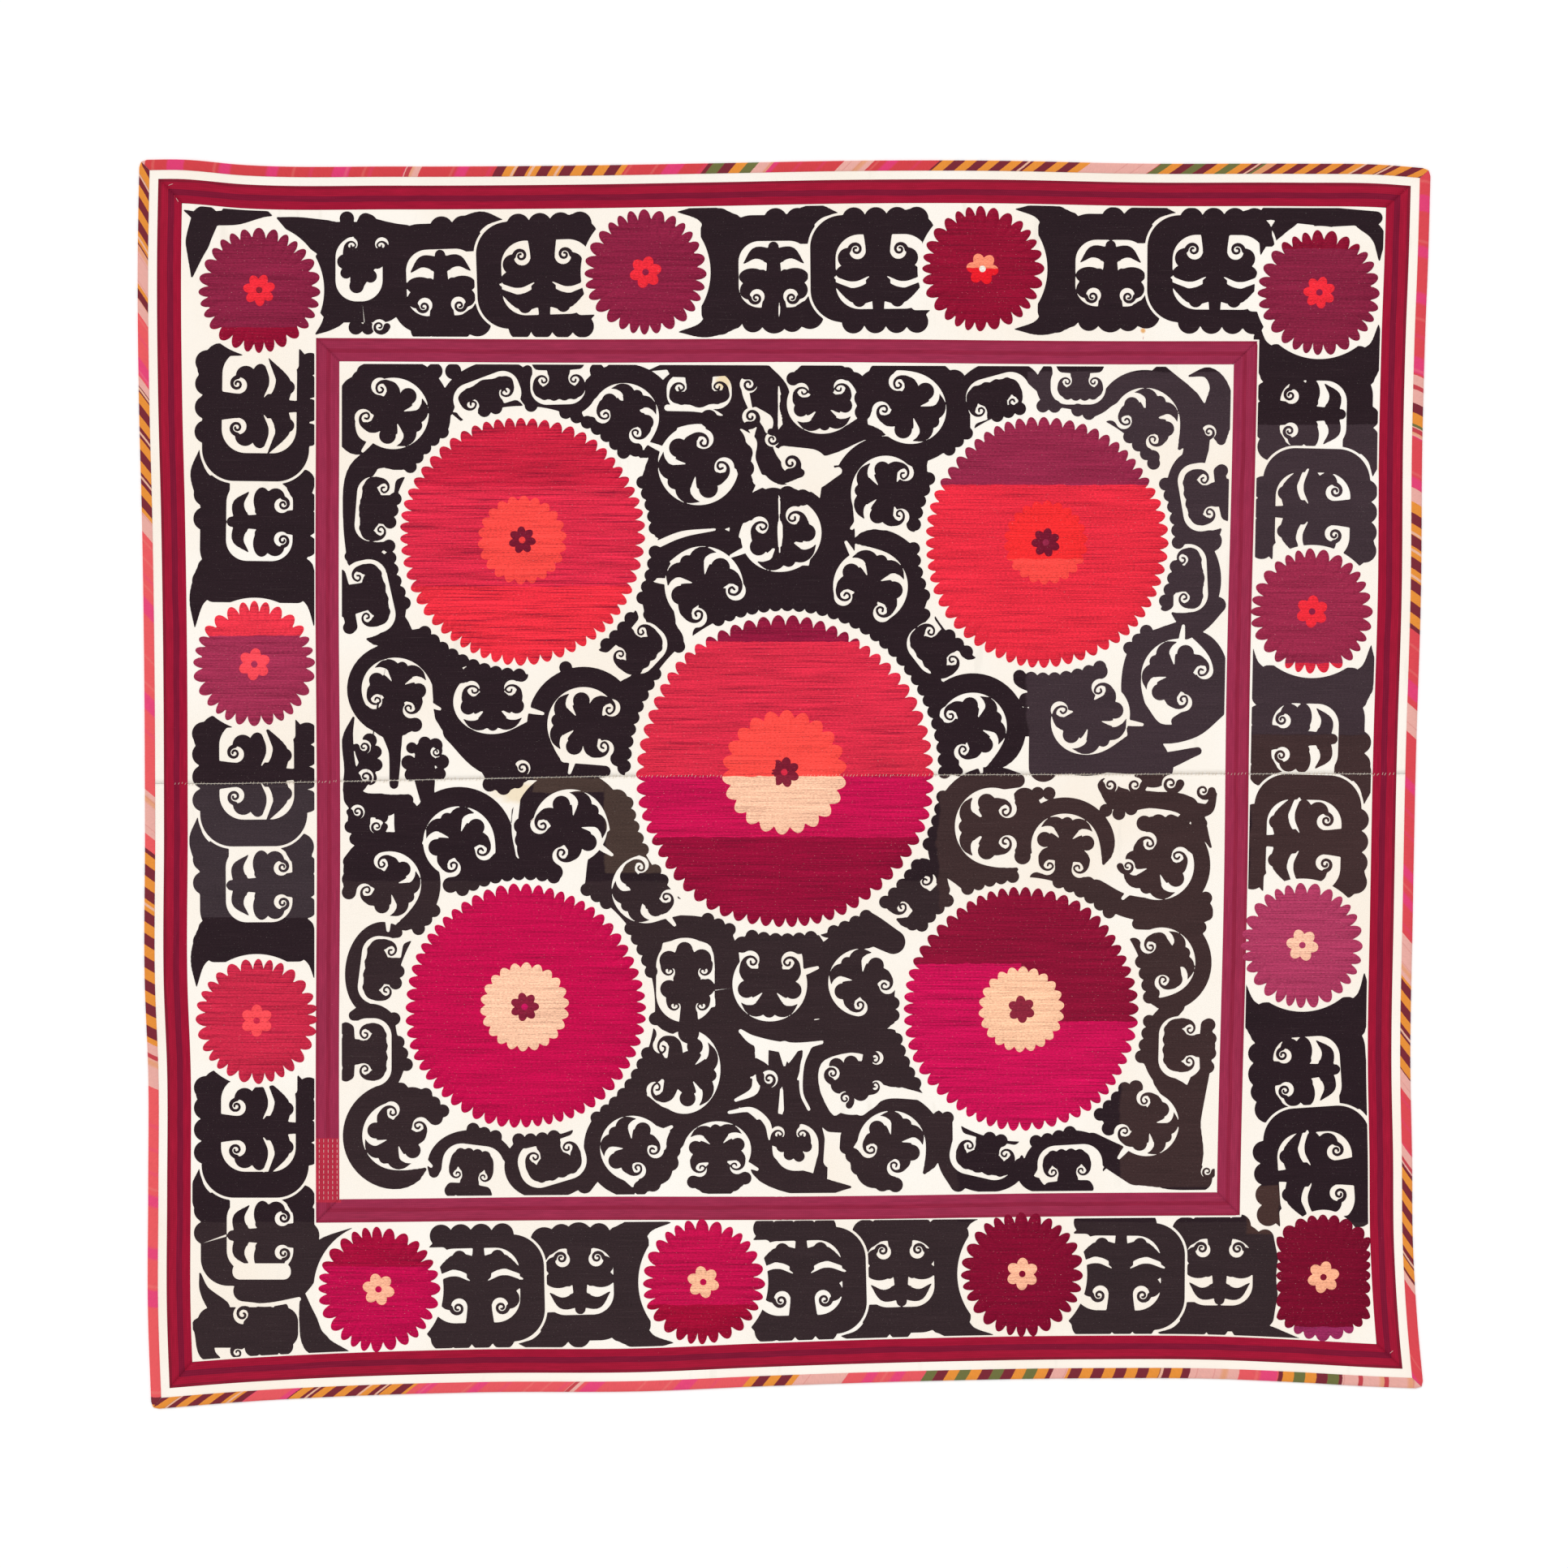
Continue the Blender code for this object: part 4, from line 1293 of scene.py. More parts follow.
class Frame:
    """A motif's own axes: across and along, from its centre, in units of its size."""

    def __init__(self, x, y, turn, size, squeeze=1.0):
        self.origin = np.array((x, y), float)
        self.along = np.array((math.cos(turn), math.sin(turn)))
        self.across = np.array((-math.sin(turn), math.cos(turn)))
        self.turn = turn
        self.size = size
        self.squeeze = squeeze

    def at(self, points):
        points = np.atleast_2d(np.asarray(points, float))
        across = points[:, :1] * self.across * self.size * self.squeeze
        along = points[:, 1:] * self.along * self.size
        return self.origin + across + along

    def dot(self, x, y, radius):
        (spot,) = self.at((x, y))
        return disc(*spot, radius * self.size)

    def oval(self, x, y, half_across, half_along, turn=0.0):
        (spot,) = self.at((x, y))
        size = self.size
        return oval(*spot, half_along * size, half_across * size * abs(self.squeeze), self.turn + turn)

    def block(self, x, y, half_across, half_along, corner):
        (spot,) = self.at((x, y))
        size = self.size
        half_wide = half_across * size * abs(self.squeeze)
        return block(*spot, half_along * size, half_wide, corner * size, self.turn)

    def line(self, points, widths, count=14):
        return stroke(self.at(points), np.asarray(widths) * self.size, count)

    def eye(self, x, y, side, radius, sweep):
        """The tail that winds into a volute: from its outer side, below it, and up to its middle."""
        (spot,) = self.at((x, y))
        outward = self.across * side + self.along * 0.1
        start = math.atan2(outward[1], outward[0])
        size = self.size * radius
        widths = np.array((0.60, 0.40, 0.32, 0.30)) * size
        return spiral(*spot, size, size * 0.22, start, side * sweep, widths)


print("a drawing is made of discs, ovals, blocks, strokes and spirals")

# %% [markdown]
# The motif in every bay is a palmette: a leaf that grows from the bay's edge, with a volute wound at each
# side of its trunk, two pairs of lobes, two horns and a bud at the tip. Bare cotton winds round each
# volute, so the volute is first cut out as a round hole and its tail is then sewn back in as a spiral.

# %% The palmette and the winding border
UP = -math.pi / 2
DOWN = math.pi / 2
LEFT = math.pi
CHANNEL = 3.0
EYE_ACROSS = 0.48
EYE_ALONG = -0.57
VOLUTE = 0.2
TRUNK = 0.6
HORN_REACH = 0.8


def mirrored(side, *points):
    """The points of a motif's one half (side 1) or of its other half (side -1)."""
    return [(side * across, along) for across, along in points]


def palmette(drawing, frame, long_horns=False):
    """A palmette on its chamber's edge: a trunk, two volutes, two pairs of lobes, two horns and buds.

    The trunk stands on the side that the frame looks away from. Bare cotton curls round each volute's
    thin tail and cuts a crescent between the horns and the lobes.
    """
    drawing.add(frame.line([(0, -1.15), (0, EYE_ALONG), (0, 0.3)], (TRUNK * 1.25, TRUNK, TRUNK)))
    for side in (-1, 1):
        drawing.add(frame.dot(side * 0.66, -0.36, 0.25))
        drawing.add(frame.oval(side * 0.57, 0.0, 0.36, 0.23))
        drawing.add(frame.dot(side * 0.30, -0.15, 0.34))
        drawing.cut(frame.dot(side * (EYE_ACROSS - 0.03), EYE_ALONG + 0.04, VOLUTE))
        if long_horns:
            drawing.add(frame.line(mirrored(side, (0, 0.40), (0.5, 0.56), (1.05, 0.20)), (0.5, 0.40, 0.02)))
            drawing.add(frame.dot(side * 0.42, 0.68, 0.17))
            gap = mirrored(side, (0.20, 0.10), (0.55, 0.30), (0.95, 0.12))
            drawing.cut(frame.line(gap, (0.02, 0.17, 0.05)))
        else:
            horn = mirrored(side, (0, 0.52), (0.45, 0.64), (HORN_REACH, 0.36))
            drawing.add(frame.line(horn, (0.40, 0.32, 0.03)))
            gap = mirrored(side, (0.10, 0.04), (0.28, 0.30), (HORN_REACH + 0.05, 0.28))
            drawing.cut(frame.line(gap, (0.02, 0.22, 0.06)))
        drawing.add(frame.eye(side * EYE_ACROSS, EYE_ALONG, side, VOLUTE * 0.86, 8.2))
    drawing.add(frame.line([(0, 0.0), (0, 0.86 if long_horns else 0.80)], (0.42, 0.28)))


print("both halves of a point:", mirrored(-1, (0.5, 0.2)), mirrored(1, (0.5, 0.2)))

# %% [markdown]
# In the border a thick stem winds from rosette to rosette. Every stretch between two rosettes is the same:
# a cup round the first rosette, a bay that stands on the inner edge and one that hangs from the outer edge.
# So one function draws a stretch in its own axes, and a table of its two ends places it.

# %% The winding stem
SPAN_RUN = 413


def border_span(drawing, start, end, crown=True):
    """The border's winding stem between two rosettes, going clockwise.

    A cup with two horns hugs the first rosette. One bay then stands on the inner edge and faces out,
    and the next hangs from the outer edge and faces in. Both have rows of lobes along their edges.
    """
    run = math.hypot(end[0] - start[0], end[1] - start[1])
    turn = math.atan2(end[1] - start[1], end[0] - start[0]) - math.pi / 2
    frame = Frame(*start, turn, 1.0, run / SPAN_RUN)
    if crown:
        for side in (-1, 1):
            drawing.add(frame.line([(40, side * 74), (72, side * 71), (100, side * 52)], (1, 20, 44)))
            drawing.add(frame.dot(92, side * 65, 13))
        drawing.add(frame.block(92, 0, 24, 62, 10))
    drawing.add(frame.block(156, 2, 59, 67, 34))
    for at in (131, 155, 179):
        drawing.add(frame.dot(at, -62, 13.5))
    drawing.add(frame.dot(201, -55, 17))
    for at in (160, 187):
        drawing.add(frame.dot(at, 63, 14.5))
    drawing.add(frame.line([(186, 58), (210, 72), (236, 71)], (34, 20, 1)))
    drawing.cut(frame.block(158, -4, 44, 41, 26))
    drawing.cut(frame.block(198, 8, 22, 25, 6))
    palmette(drawing, Frame(*frame.at((157, -7))[0], turn, 46))
    drawing.add(frame.line([(196, -54), (211, -38), (204, -14)], (32, 18, 1)))
    drawing.add(frame.block(280, 2, 78, 66, 40), CHANNEL)
    for at in (256, 283, 309, 333):
        drawing.add(frame.dot(at, 63, 14.5))
    for at in (254, 281, 307, 332):
        drawing.add(frame.dot(at, -64, 14))
    drawing.cut(frame.block(290, -2, 57, 46, 30))
    drawing.cut(frame.block(345, -10, 20, 40, 6))
    palmette(drawing, Frame(*frame.at((285, -3))[0], turn + math.pi, 50, 1.12), True)
    drawing.add(frame.line([(326, 60), (345, 48), (341, 20)], (30, 20, 1)))


print("a stretch of the border is drawn for a run of", SPAN_RUN, "pixels")

# %% [markdown]
# In the field the stem coils into round bays that fill the space between the rosettes. Where a bay's two
# volutes lie also says which way its palmette grows. The stem is laid first, and the bay is cut out of it.

# %% The bays of the field


def rooted(row):
    """The turn of a bay's palmette and the middle between its volutes, from where those two lie."""
    between = np.array((row.other_x - row.eye_x, row.other_y - row.eye_y), float)
    span = math.hypot(*between)
    across = between / span
    along = np.array((-across[1], across[0]))
    middle = np.array(((row.eye_x + row.other_x) / 2, (row.eye_y + row.other_y) / 2))
    if along @ (np.array((row.x, row.y)) - middle) < 0:
        along = -along
    return middle, along, span


LOW_BAY = 30


def stem_round(drawing, row):
    """A thick stem that runs round the chamber from one clock angle to another and ends in a hook."""
    _, along, _ = rooted(row)
    frame = Frame(row.x, row.y, math.atan2(along[1], along[0]), 1.0)
    clock = np.radians(np.linspace(row.start, row.end, 14))
    heading = np.stack((np.cos(clock), np.sin(clock)), axis=1)
    parts = np.stack((heading @ frame.across, heading @ frame.along), axis=1)
    middle_line = parts * (row.across + row.ring / 2, row.along + row.ring / 2)
    widths = np.full(14, float(row.ring))
    widths[-3:] = row.ring * np.array((0.95, 0.72, 0.2))
    drawing.add(frame.line(middle_line, widths, 30))
    before = middle_line[0] + (middle_line[0] - middle_line[1]) * 0.9
    drawing.add(frame.line([middle_line[0], before], (row.ring, row.ring * 0.7)))


def open_chamber(drawing, row, turn):
    """The bare chamber inside the stem, and the way out between the stem's hook and the palmette."""
    frame = Frame(row.x, row.y, turn, 1.0)
    if row.along < LOW_BAY:
        drawing.cut(frame.block(0, 0, row.across, row.along, row.along * 0.85))
        return
    drawing.cut(frame.oval(0, 0, row.across, row.along))
    past = math.radians(row.end + math.copysign(9, row.end - row.start))
    out = np.array((math.cos(past), math.sin(past)))
    way = np.array((out @ frame.across * row.across, out @ frame.along * row.along))
    drawing.cut(frame.line([way * 0.85, way * 1.1, way * 1.35], (8, 7, 4)))


print("bays lower than", LOW_BAY, "pixels are beans")

# %% [markdown]
# The field's palmettes have leaves whose tips wind into a volute. The tip is one curve, drawn beside a
# round hole, and a palmette uses it twice, once for each side.

# %% Leaves wound into volutes
WOUND = (
    (0.22, 0.22), (0.23, 0.03), (0.12, -0.09), (-0.02, -0.09),
    (-0.11, 0.01), (-0.06, 0.10), (0.03, 0.10), (0.05, 0.02),
)
WOUND_WIDTHS = (0.26, 0.12, 0.075, 0.062, 0.058, 0.058, 0.058, 0.055)
WOUND_HOLE = 0.245


def wound_leaf(drawing, frame, x, y, side, base=0.46, wide=0.5):
    """A volute: a round hole in the cotton, and a small leaf beside it whose tip winds into its middle."""
    drawing.cut(frame.dot(side * (x + 0.06), y - 0.02, WOUND_HOLE))
    leaf = mirrored(side, (0.12, y + base), (x + 0.07, y + base * 0.87), (x + 0.19, y + 0.29))
    drawing.add(frame.line(leaf, (wide, 0.38, 0.32)))
    tail = mirrored(side, *((x + across, y + along) for across, along in WOUND))
    drawing.add(frame.line(tail, WOUND_WIDTHS, 24))


def full_palmette(drawing, frame, eye_x, eye_y):
    """A palmette that nearly fills its round chamber.

    From its root it has at each side a leaf wound into a volute, a round lobe, a curved cut and a pointed
    leaf, and at its tip a bud. Only a thin crescent of cotton is left round it.
    """
    drawing.add(frame.block(0, eye_y - 0.46, 0.74, 0.26, 0.2))
    drawing.add(frame.line([(0, eye_y - 0.4), (0, eye_y), (0, 0.1)], (2.6 * eye_x, 1.7 * eye_x - 0.2, 0.7)))
    drawing.add(frame.oval(0, 0.12, 0.52, 0.52))
    drawing.add(frame.dot(0, 0.72, 0.18))
    for x, y, radius in ((0.0, -0.64, 0.24), (0.42, -0.60, 0.24), (0.76, -0.42, 0.22)):
        for side in (-1, 1):
            drawing.add(frame.dot(side * x, y + eye_y, radius))
    for side in (-1, 1):
        drawing.add(frame.dot(side * 0.62, 0.15, 0.235))
        horn = mirrored(side, (0.05, 0.5), (0.32, 0.70), (0.55, 0.68), (0.76, 0.50))
        drawing.add(frame.line(horn, (0.40, 0.36, 0.22, 0.02)))
        gap = mirrored(side, (0.80, 0.42), (0.58, 0.49), (0.40, 0.43), (0.20, 0.24))
        drawing.cut(frame.line(gap, (0.12, 0.17, 0.15, 0.02)))
        wound_leaf(drawing, frame, eye_x, eye_y, side)


print("a volute has", len(WOUND), "places")

# %% [markdown]
# A round bay holds a full palmette. A low bay is a bean: a trunk with a wound leaf at each end, and small
# lobes between the two.

# %% Two kinds of bay


def ring_unit(drawing, row):
    """A round bay of the field: a chamber round a palmette with two volutes."""
    middle, along, span = rooted(row)
    turn = math.atan2(along[1], along[0])
    open_chamber(drawing, row, turn)
    depth = (np.array((row.x, row.y)) - middle) @ along
    frame = Frame(row.x, row.y, turn, row.along, row.across / row.along)
    full_palmette(drawing, frame, span / 2 / row.across, -depth / row.along)


def bean_unit(drawing, row):
    """A low bay: a kidney of bare cotton round a body with a wound leaf at each end and lobes between."""
    middle, along, span = rooted(row)
    turn = math.atan2(along[1], along[0])
    open_chamber(drawing, row, turn)
    half = span / 2
    far = (np.array((row.x, row.y)) - middle) @ along + row.along
    plain = Frame(*middle, turn, 1.0)
    hole = min(half * 0.5, 10)
    drawing.add(plain.line([(-half * 1.3, -hole - 9), (0, -hole - 9), (half * 1.3, -hole - 9)], (14, 17, 14)))
    drawing.add(plain.line([(0, -hole - 6), (0, far * 0.4)], (half * 1.5, half * 1.3)))
    drawing.add(plain.oval(0, far * 0.36, half * 1.05, far * 0.30))
    for at in (-0.95, -0.33, 0.33, 0.95):
        drawing.add(plain.dot(at * half, far - 10.5 - 2 * abs(at), 6.6))
        drawing.add(plain.dot(at * half * 1.4, -hole - 15 + 3 * abs(at), 8))
    size = hole / WOUND_HOLE
    for side in (-1, 1):
        wound_leaf(drawing, Frame(*middle, turn, size), half / size, 0, side, (far - 13) / size, 0.38)


print("kinds of bay:", ring_unit.__name__, bean_unit.__name__)

# %% [markdown]
# Now the bays themselves, one to a row, from the top of the field to its foot. The numbers are read off the
# pattern in pixels, and the angles are in degrees, clockwise from the right.

# %% The table of bays


class Ring(NamedTuple):
    """A bay: its middle and half sizes, its two volutes, its stem's width and the clock angles it spans."""

    x: float
    y: float
    across: float
    along: float
    eye_x: float
    eye_y: float
    other_x: float
    other_y: float
    ring: float
    start: float
    end: float


RINGS = [Ring(*row) for row in (
    (484, 509, 44, 44, 467, 479, 449, 513, 27, 250, 480),
    (600, 488, 42, 24, 582, 499, 622, 484, 18, 170, 350),
    (687, 474, 34, 24, 669, 467, 707, 466, 17, 200, 0),
    (770, 512, 42, 40, 741, 510, 779, 532, 24, 215, 430),
    (462, 627, 40, 24, 474, 602, 470, 653, 16, 250, 60),
    (455, 735, 46, 27, 439, 711, 450, 760, 17, -110, 100),
    (861, 482, 40, 22, 838, 476, 884, 475, 10, 200, 340),
    (860, 572, 50, 50, 870, 547, 892, 577, 25, 110, -148),
    (1013, 496, 44, 38, 991, 481, 1035, 477, 24, 180, 20),
    (1120, 502, 44, 46, 1105, 473, 1087, 504, 24, 110, -125),
    (1090, 607, 46, 42, 1113, 595, 1108, 644, 24, -50, -215),
    (962, 658, 50, 46, 946, 645, 984, 634, 16, 0, -195),
    (867, 722, 48, 50, 899, 731, 856, 761, 26, 30, -165),
    (1072, 722, 46, 46, 1039, 734, 1082, 752, 26, 70, -110),
    (790, 798, 32, 26, 789, 777, 763, 805, 20, -70, 110),
    (1148, 798, 32, 26, 1147, 777, 1174, 812, 20, 250, 80),
    (1230, 490, 40, 28, 1208, 507, 1248, 496, 18, 175, 350),
    (1328, 474, 34, 24, 1314, 469, 1347, 469, 18, 200, 0),
    (1412, 518, 42, 40, 1389, 521, 1422, 544, 22, 215, 400),
    (1479, 612, 42, 25, 1484, 590, 1491, 631, 17, 250, 50),
    (1461, 712, 42, 26, 1455, 689, 1457, 736, 17, -70, 120),
    (1450, 832, 46, 44, 1481, 828, 1458, 863, 18, 80, -75),
    (1343, 884, 50, 44, 1313, 871, 1358, 846, 26, 180, 20),
    (1198, 895, 42, 42, 1168, 879, 1184, 921, 24, 215, 430),
    (488, 850, 43, 40, 462, 863, 502, 873, 18, 110, 375),
    (606, 864, 48, 40, 584, 849, 628, 848, 25, 190, 25),
    (718, 892, 46, 44, 751, 879, 744, 924, 25, -40, -245),
    (702, 1018, 46, 46, 674, 1028, 698, 1062, 24, 150, 385),
    (795, 1095, 42, 42, 792, 1070, 824, 1107, 20, 255, 60),
    (565, 1037, 44, 44, 590, 1051, 555, 1069, 24, 185, 395),
    (478, 1090, 42, 40, 469, 1064, 450, 1097, 24, 225, 440),
    (1222, 1018, 48, 46, 1240, 1005, 1240, 1043, 26, 285, 60),
    (1312, 1042, 42, 40, 1288, 1067, 1323, 1070, 20, 195, 385),
    (1425, 1064, 46, 44, 1413, 1036, 1448, 1052, 20, -60, 125),
    (1125, 1100, 30, 26, 1141, 1086, 1112, 1118, 16, -70, 120),
    (468, 1195, 42, 25, 483, 1172, 477, 1220, 18, 290, 100),
    (456, 1296, 42, 26, 448, 1274, 448, 1317, 18, -110, 95),
    (488, 1399, 42, 42, 486, 1370, 518, 1387, 24, 262, 50),
    (582, 1438, 38, 28, 563, 1447, 595, 1451, 18, 180, 350),
    (680, 1430, 42, 28, 658, 1424, 698, 1412, 18, 200, 0),
    (780, 1415, 40, 42, 803, 1420, 784, 1442, 20, 110, 320),
    (883, 1417, 42, 36, 861, 1440, 902, 1437, 22, 195, 380),
    (845, 1320, 52, 42, 815, 1288, 808, 1337, 22, -75, 150),
    (948, 1212, 46, 46, 928, 1183, 972, 1184, 24, 190, -10),
    (1062, 1210, 42, 42, 1093, 1213, 1062, 1237, 27, 275, 45),
    (1098, 1410, 42, 42, 1074, 1418, 1103, 1438, 22, 190, 400),
    (1432, 1184, 42, 40, 1415, 1165, 1431, 1206, 20, -110, 110),
    (1454, 1290, 38, 27, 1467, 1268, 1466, 1307, 20, 255, 80),
    (1412, 1384, 40, 40, 1410, 1353, 1385, 1391, 26, -60, 120),
    (1318, 1437, 40, 27, 1297, 1445, 1332, 1443, 18, 180, 350),
    (1210, 1422, 40, 28, 1194, 1410, 1238, 1420, 18, 200, 0),
)]
print("bays:", len(RINGS))

# %% [markdown]
# Between the bays the stem thickens, forks and ends in leaves. These stretches are rows of places with a
# width at each. The pockets are strokes too, but they are cut out and leave bare cotton.

# %% The web between the bays


class Stem(NamedTuple):
    """A stretch of stem or leaf: a few places that it passes and its widths along the way."""

    places: tuple
    widths: tuple


def stems(*rows):
    """Stems from rows of numbers: x, y and the width there, for each place in turn."""
    return [Stem(tuple(zip(row[::3], row[1::3])), row[2::3]) for row in rows]


WEB = stems(
    (430, 505, 20, 424, 528, 28, 438, 549, 22, 468, 548, 2),
    (620, 508, 16, 600, 516, 16, 580, 518, 16, 554, 507, 1),
    (500, 558, 30, 458, 566, 26, 434, 588, 18, 430, 640, 15, 436, 690, 18),
    (488, 770, 30, 500, 795, 40, 545, 800, 44, 550, 880, 30),
    (822, 540, 26, 815, 600, 50, 850, 640, 50, 900, 640, 16),
    (795, 600, 24, 795, 640, 24, 788, 678, 3),
    (935, 470, 30, 955, 530, 34, 1010, 545, 34, 1060, 532, 22, 1090, 534, 4),
    (1030, 590, 34, 1028, 660, 50, 1020, 730, 60),
    (905, 722, 36, 965, 720, 50, 1030, 722, 46),
    (812, 560, 24, 816, 610, 30, 814, 650, 26),
    (860, 632, 44, 812, 668, 8),
    (812, 700, 30, 808, 730, 36, 814, 765, 36),
    (935, 466, 40, 950, 485, 44, 966, 520, 30),
    (1110, 760, 50, 1112, 800, 36, 1090, 830, 20),
    (820, 790, 44, 810, 830, 40),
    (1175, 470, 30, 1180, 510, 30, 1185, 540, 20),
    (800, 456, 2, 835, 448, 14, 880, 448, 16, 925, 454, 20),
    (905, 458, 18, 902, 485, 24, 912, 512, 24),
    (946, 520, 24, 940, 552, 24, 958, 582, 26, 985, 582, 12),
    (1430, 462, 24, 1468, 505, 36, 1472, 560, 30, 1444, 610, 26, 1452, 660, 30, 1492, 666, 26),
    (1464, 463, 2, 1488, 459, 14, 1502, 478, 24, 1500, 512, 40, 1504, 542, 12),
    (1500, 745, 20, 1475, 768, 24, 1435, 785, 26, 1410, 800, 30),
    (1398, 870, 24, 1425, 902, 24, 1468, 898, 22, 1502, 872, 20),
    (1438, 780, 20, 1405, 798, 24, 1393, 840, 24, 1402, 890, 30, 1420, 945, 50),
    (1258, 836, 20, 1285, 850, 40, 1285, 945, 36),
    (1290, 940, 30, 1350, 938, 26, 1420, 940, 26, 1475, 925, 10),
    (1150, 850, 30, 1160, 880, 30, 1155, 930, 30, 1180, 950, 12),
    (560, 900, 30, 600, 938, 30, 660, 948, 26, 745, 950, 14),
    (775, 850, 30, 785, 900, 34, 770, 945, 20),
    (480, 888, 32, 486, 925, 15, 485, 966, 11),
    (435, 884, 3, 428, 910, 14, 431, 945, 14, 438, 985, 28, 470, 992, 30, 502, 985, 14),
    (448, 925, 22, 453, 942, 24, 440, 964, 24),
    (450, 990, 24, 442, 1010, 28, 448, 1030, 24),
    (527, 994, 14, 523, 958, 26, 523, 924, 24),
    (604, 944, 26, 618, 960, 30, 642, 952, 24),
    (610, 922, 26, 668, 926, 30),
    (500, 1000, 30, 505, 1025, 34, 530, 1015, 20),
    (600, 1075, 24, 640, 1060, 30, 652, 1076, 3),
    (640, 1000, 20, 641, 1050, 24, 665, 1075, 30),
    (760, 985, 26, 770, 1025, 36, 740, 1050, 26, 728, 1090, 16),
    (728, 1080, 12, 750, 1120, 18, 790, 1150, 26, 845, 1142, 30, 890, 1160, 30, 898, 1240, 34),
    (930, 1160, 26, 960, 1160, 30, 1000, 1165, 30, 1004, 1240, 30),
    (806, 1146, 26, 801, 1200, 18, 812, 1252, 18, 845, 1264, 24, 880, 1250, 20),
    (908, 1262, 44, 912, 1300, 34, 905, 1340, 30),
    (905, 1350, 24, 935, 1358, 28, 958, 1382, 26),
    (950, 1350, 24, 940, 1322, 22, 930, 1310, 14),
    (980, 1345, 30, 1000, 1385, 22, 1012, 1420, 12, 1010, 1448, 18),
    (900, 1255, 36, 905, 1300, 22, 900, 1350, 26, 860, 1385, 26, 800, 1370, 24, 770, 1350, 30),
    (900, 1258, 26, 960, 1272, 26, 1050, 1262, 26, 1100, 1240, 20),
    (1020, 1140, 30, 1060, 1140, 40, 1100, 1160, 30),
    (1100, 1290, 40, 1050, 1285, 22, 1005, 1300, 22, 998, 1340, 22, 1025, 1385, 20, 1070, 1360, 26),
    (1095, 1285, 36, 1106, 1318, 36, 1140, 1346, 3),
    (985, 1392, 34, 966, 1350, 38, 958, 1310, 24, 948, 1286, 3),
    (960, 1352, 26, 930, 1346, 16, 905, 1362, 2),
    (966, 1335, 26, 980, 1310, 14, 988, 1288, 2),
    (938, 1390, 24, 942, 1438, 34, 1000, 1460, 30, 1047, 1462, 3),
    (1262, 985, 30, 1272, 1010, 32, 1262, 1040, 14),
    (1345, 1408, 26, 1372, 1425, 34, 1400, 1440, 40),
    (1258, 1436, 20, 1272, 1458, 18, 1325, 1462, 20, 1362, 1438, 2),
    (1470, 998, 20, 1488, 996, 14, 1496, 978, 6),
    (1170, 1000, 20, 1160, 1050, 34, 1190, 1080, 30),
    (1350, 1095, 24, 1385, 1115, 28, 1432, 1122, 30, 1480, 1122, 28),
    (1478, 1090, 12, 1483, 1068, 2),
    (1400, 1240, 22, 1412, 1290, 22, 1430, 1325, 22),
    (1480, 1320, 20, 1462, 1380, 34, 1450, 1430, 60, 1400, 1440, 40),
    (1440, 1440, 50, 1478, 1452, 30),
    (740, 1395, 30, 735, 1430, 30, 720, 1460, 20),
    (1160, 1380, 26, 1165, 1430, 20, 1180, 1458, 20),
    (1362, 968, 20, 1380, 985, 30, 1420, 985, 20, 1465, 995, 26, 1491, 1043, 3),
)
POCKETS = stems(
    (912, 1270, 5, 930, 1282, 12, 970, 1290, 13, 1012, 1284, 4),
    (934, 1285, 12, 934, 1298, 4),
    (966, 1290, 16, 966, 1312, 3),
    (996, 1290, 6, 988, 1312, 5, 987, 1345, 4, 996, 1366, 4),
    (932, 1328, 10, 928, 1344, 10, 906, 1355, 4),
    (930, 506, 10, 944, 518, 16, 946, 530, 8),
    (912, 534, 12, 926, 544, 12, 926, 565, 9, 936, 592, 10),
    (637, 985, 7, 634, 1020, 8, 641, 1052, 12),
    (898, 1370, 4, 925, 1367, 7, 944, 1382, 8, 949, 1402, 6),
    (1060, 1366, 16, 1090, 1349, 10, 1138, 1353, 4),
    (1018, 1398, 4, 1022, 1430, 16),
    (822, 502, 8, 862, 504, 7, 885, 512, 8, 905, 534, 9, 920, 558, 10, 932, 590, 10),
    (932, 592, 10, 960, 602, 10, 1000, 598, 14, 1032, 580, 10),
    (965, 556, 14, 1000, 568, 30, 1020, 582, 20),
    (806, 672, 9, 840, 658, 8, 880, 652, 3),
)
print("stretches of stem:", len(WEB), "pockets:", len(POCKETS))

# %% [markdown]
# Single lobes sit on the stem's edges like berries. A small volute is a hole with a spiral tail in it.

# %% Lobes and small volutes


class Lobe(NamedTuple):
    """A round lobe on a stem's edge."""

    x: float
    y: float
    radius: float


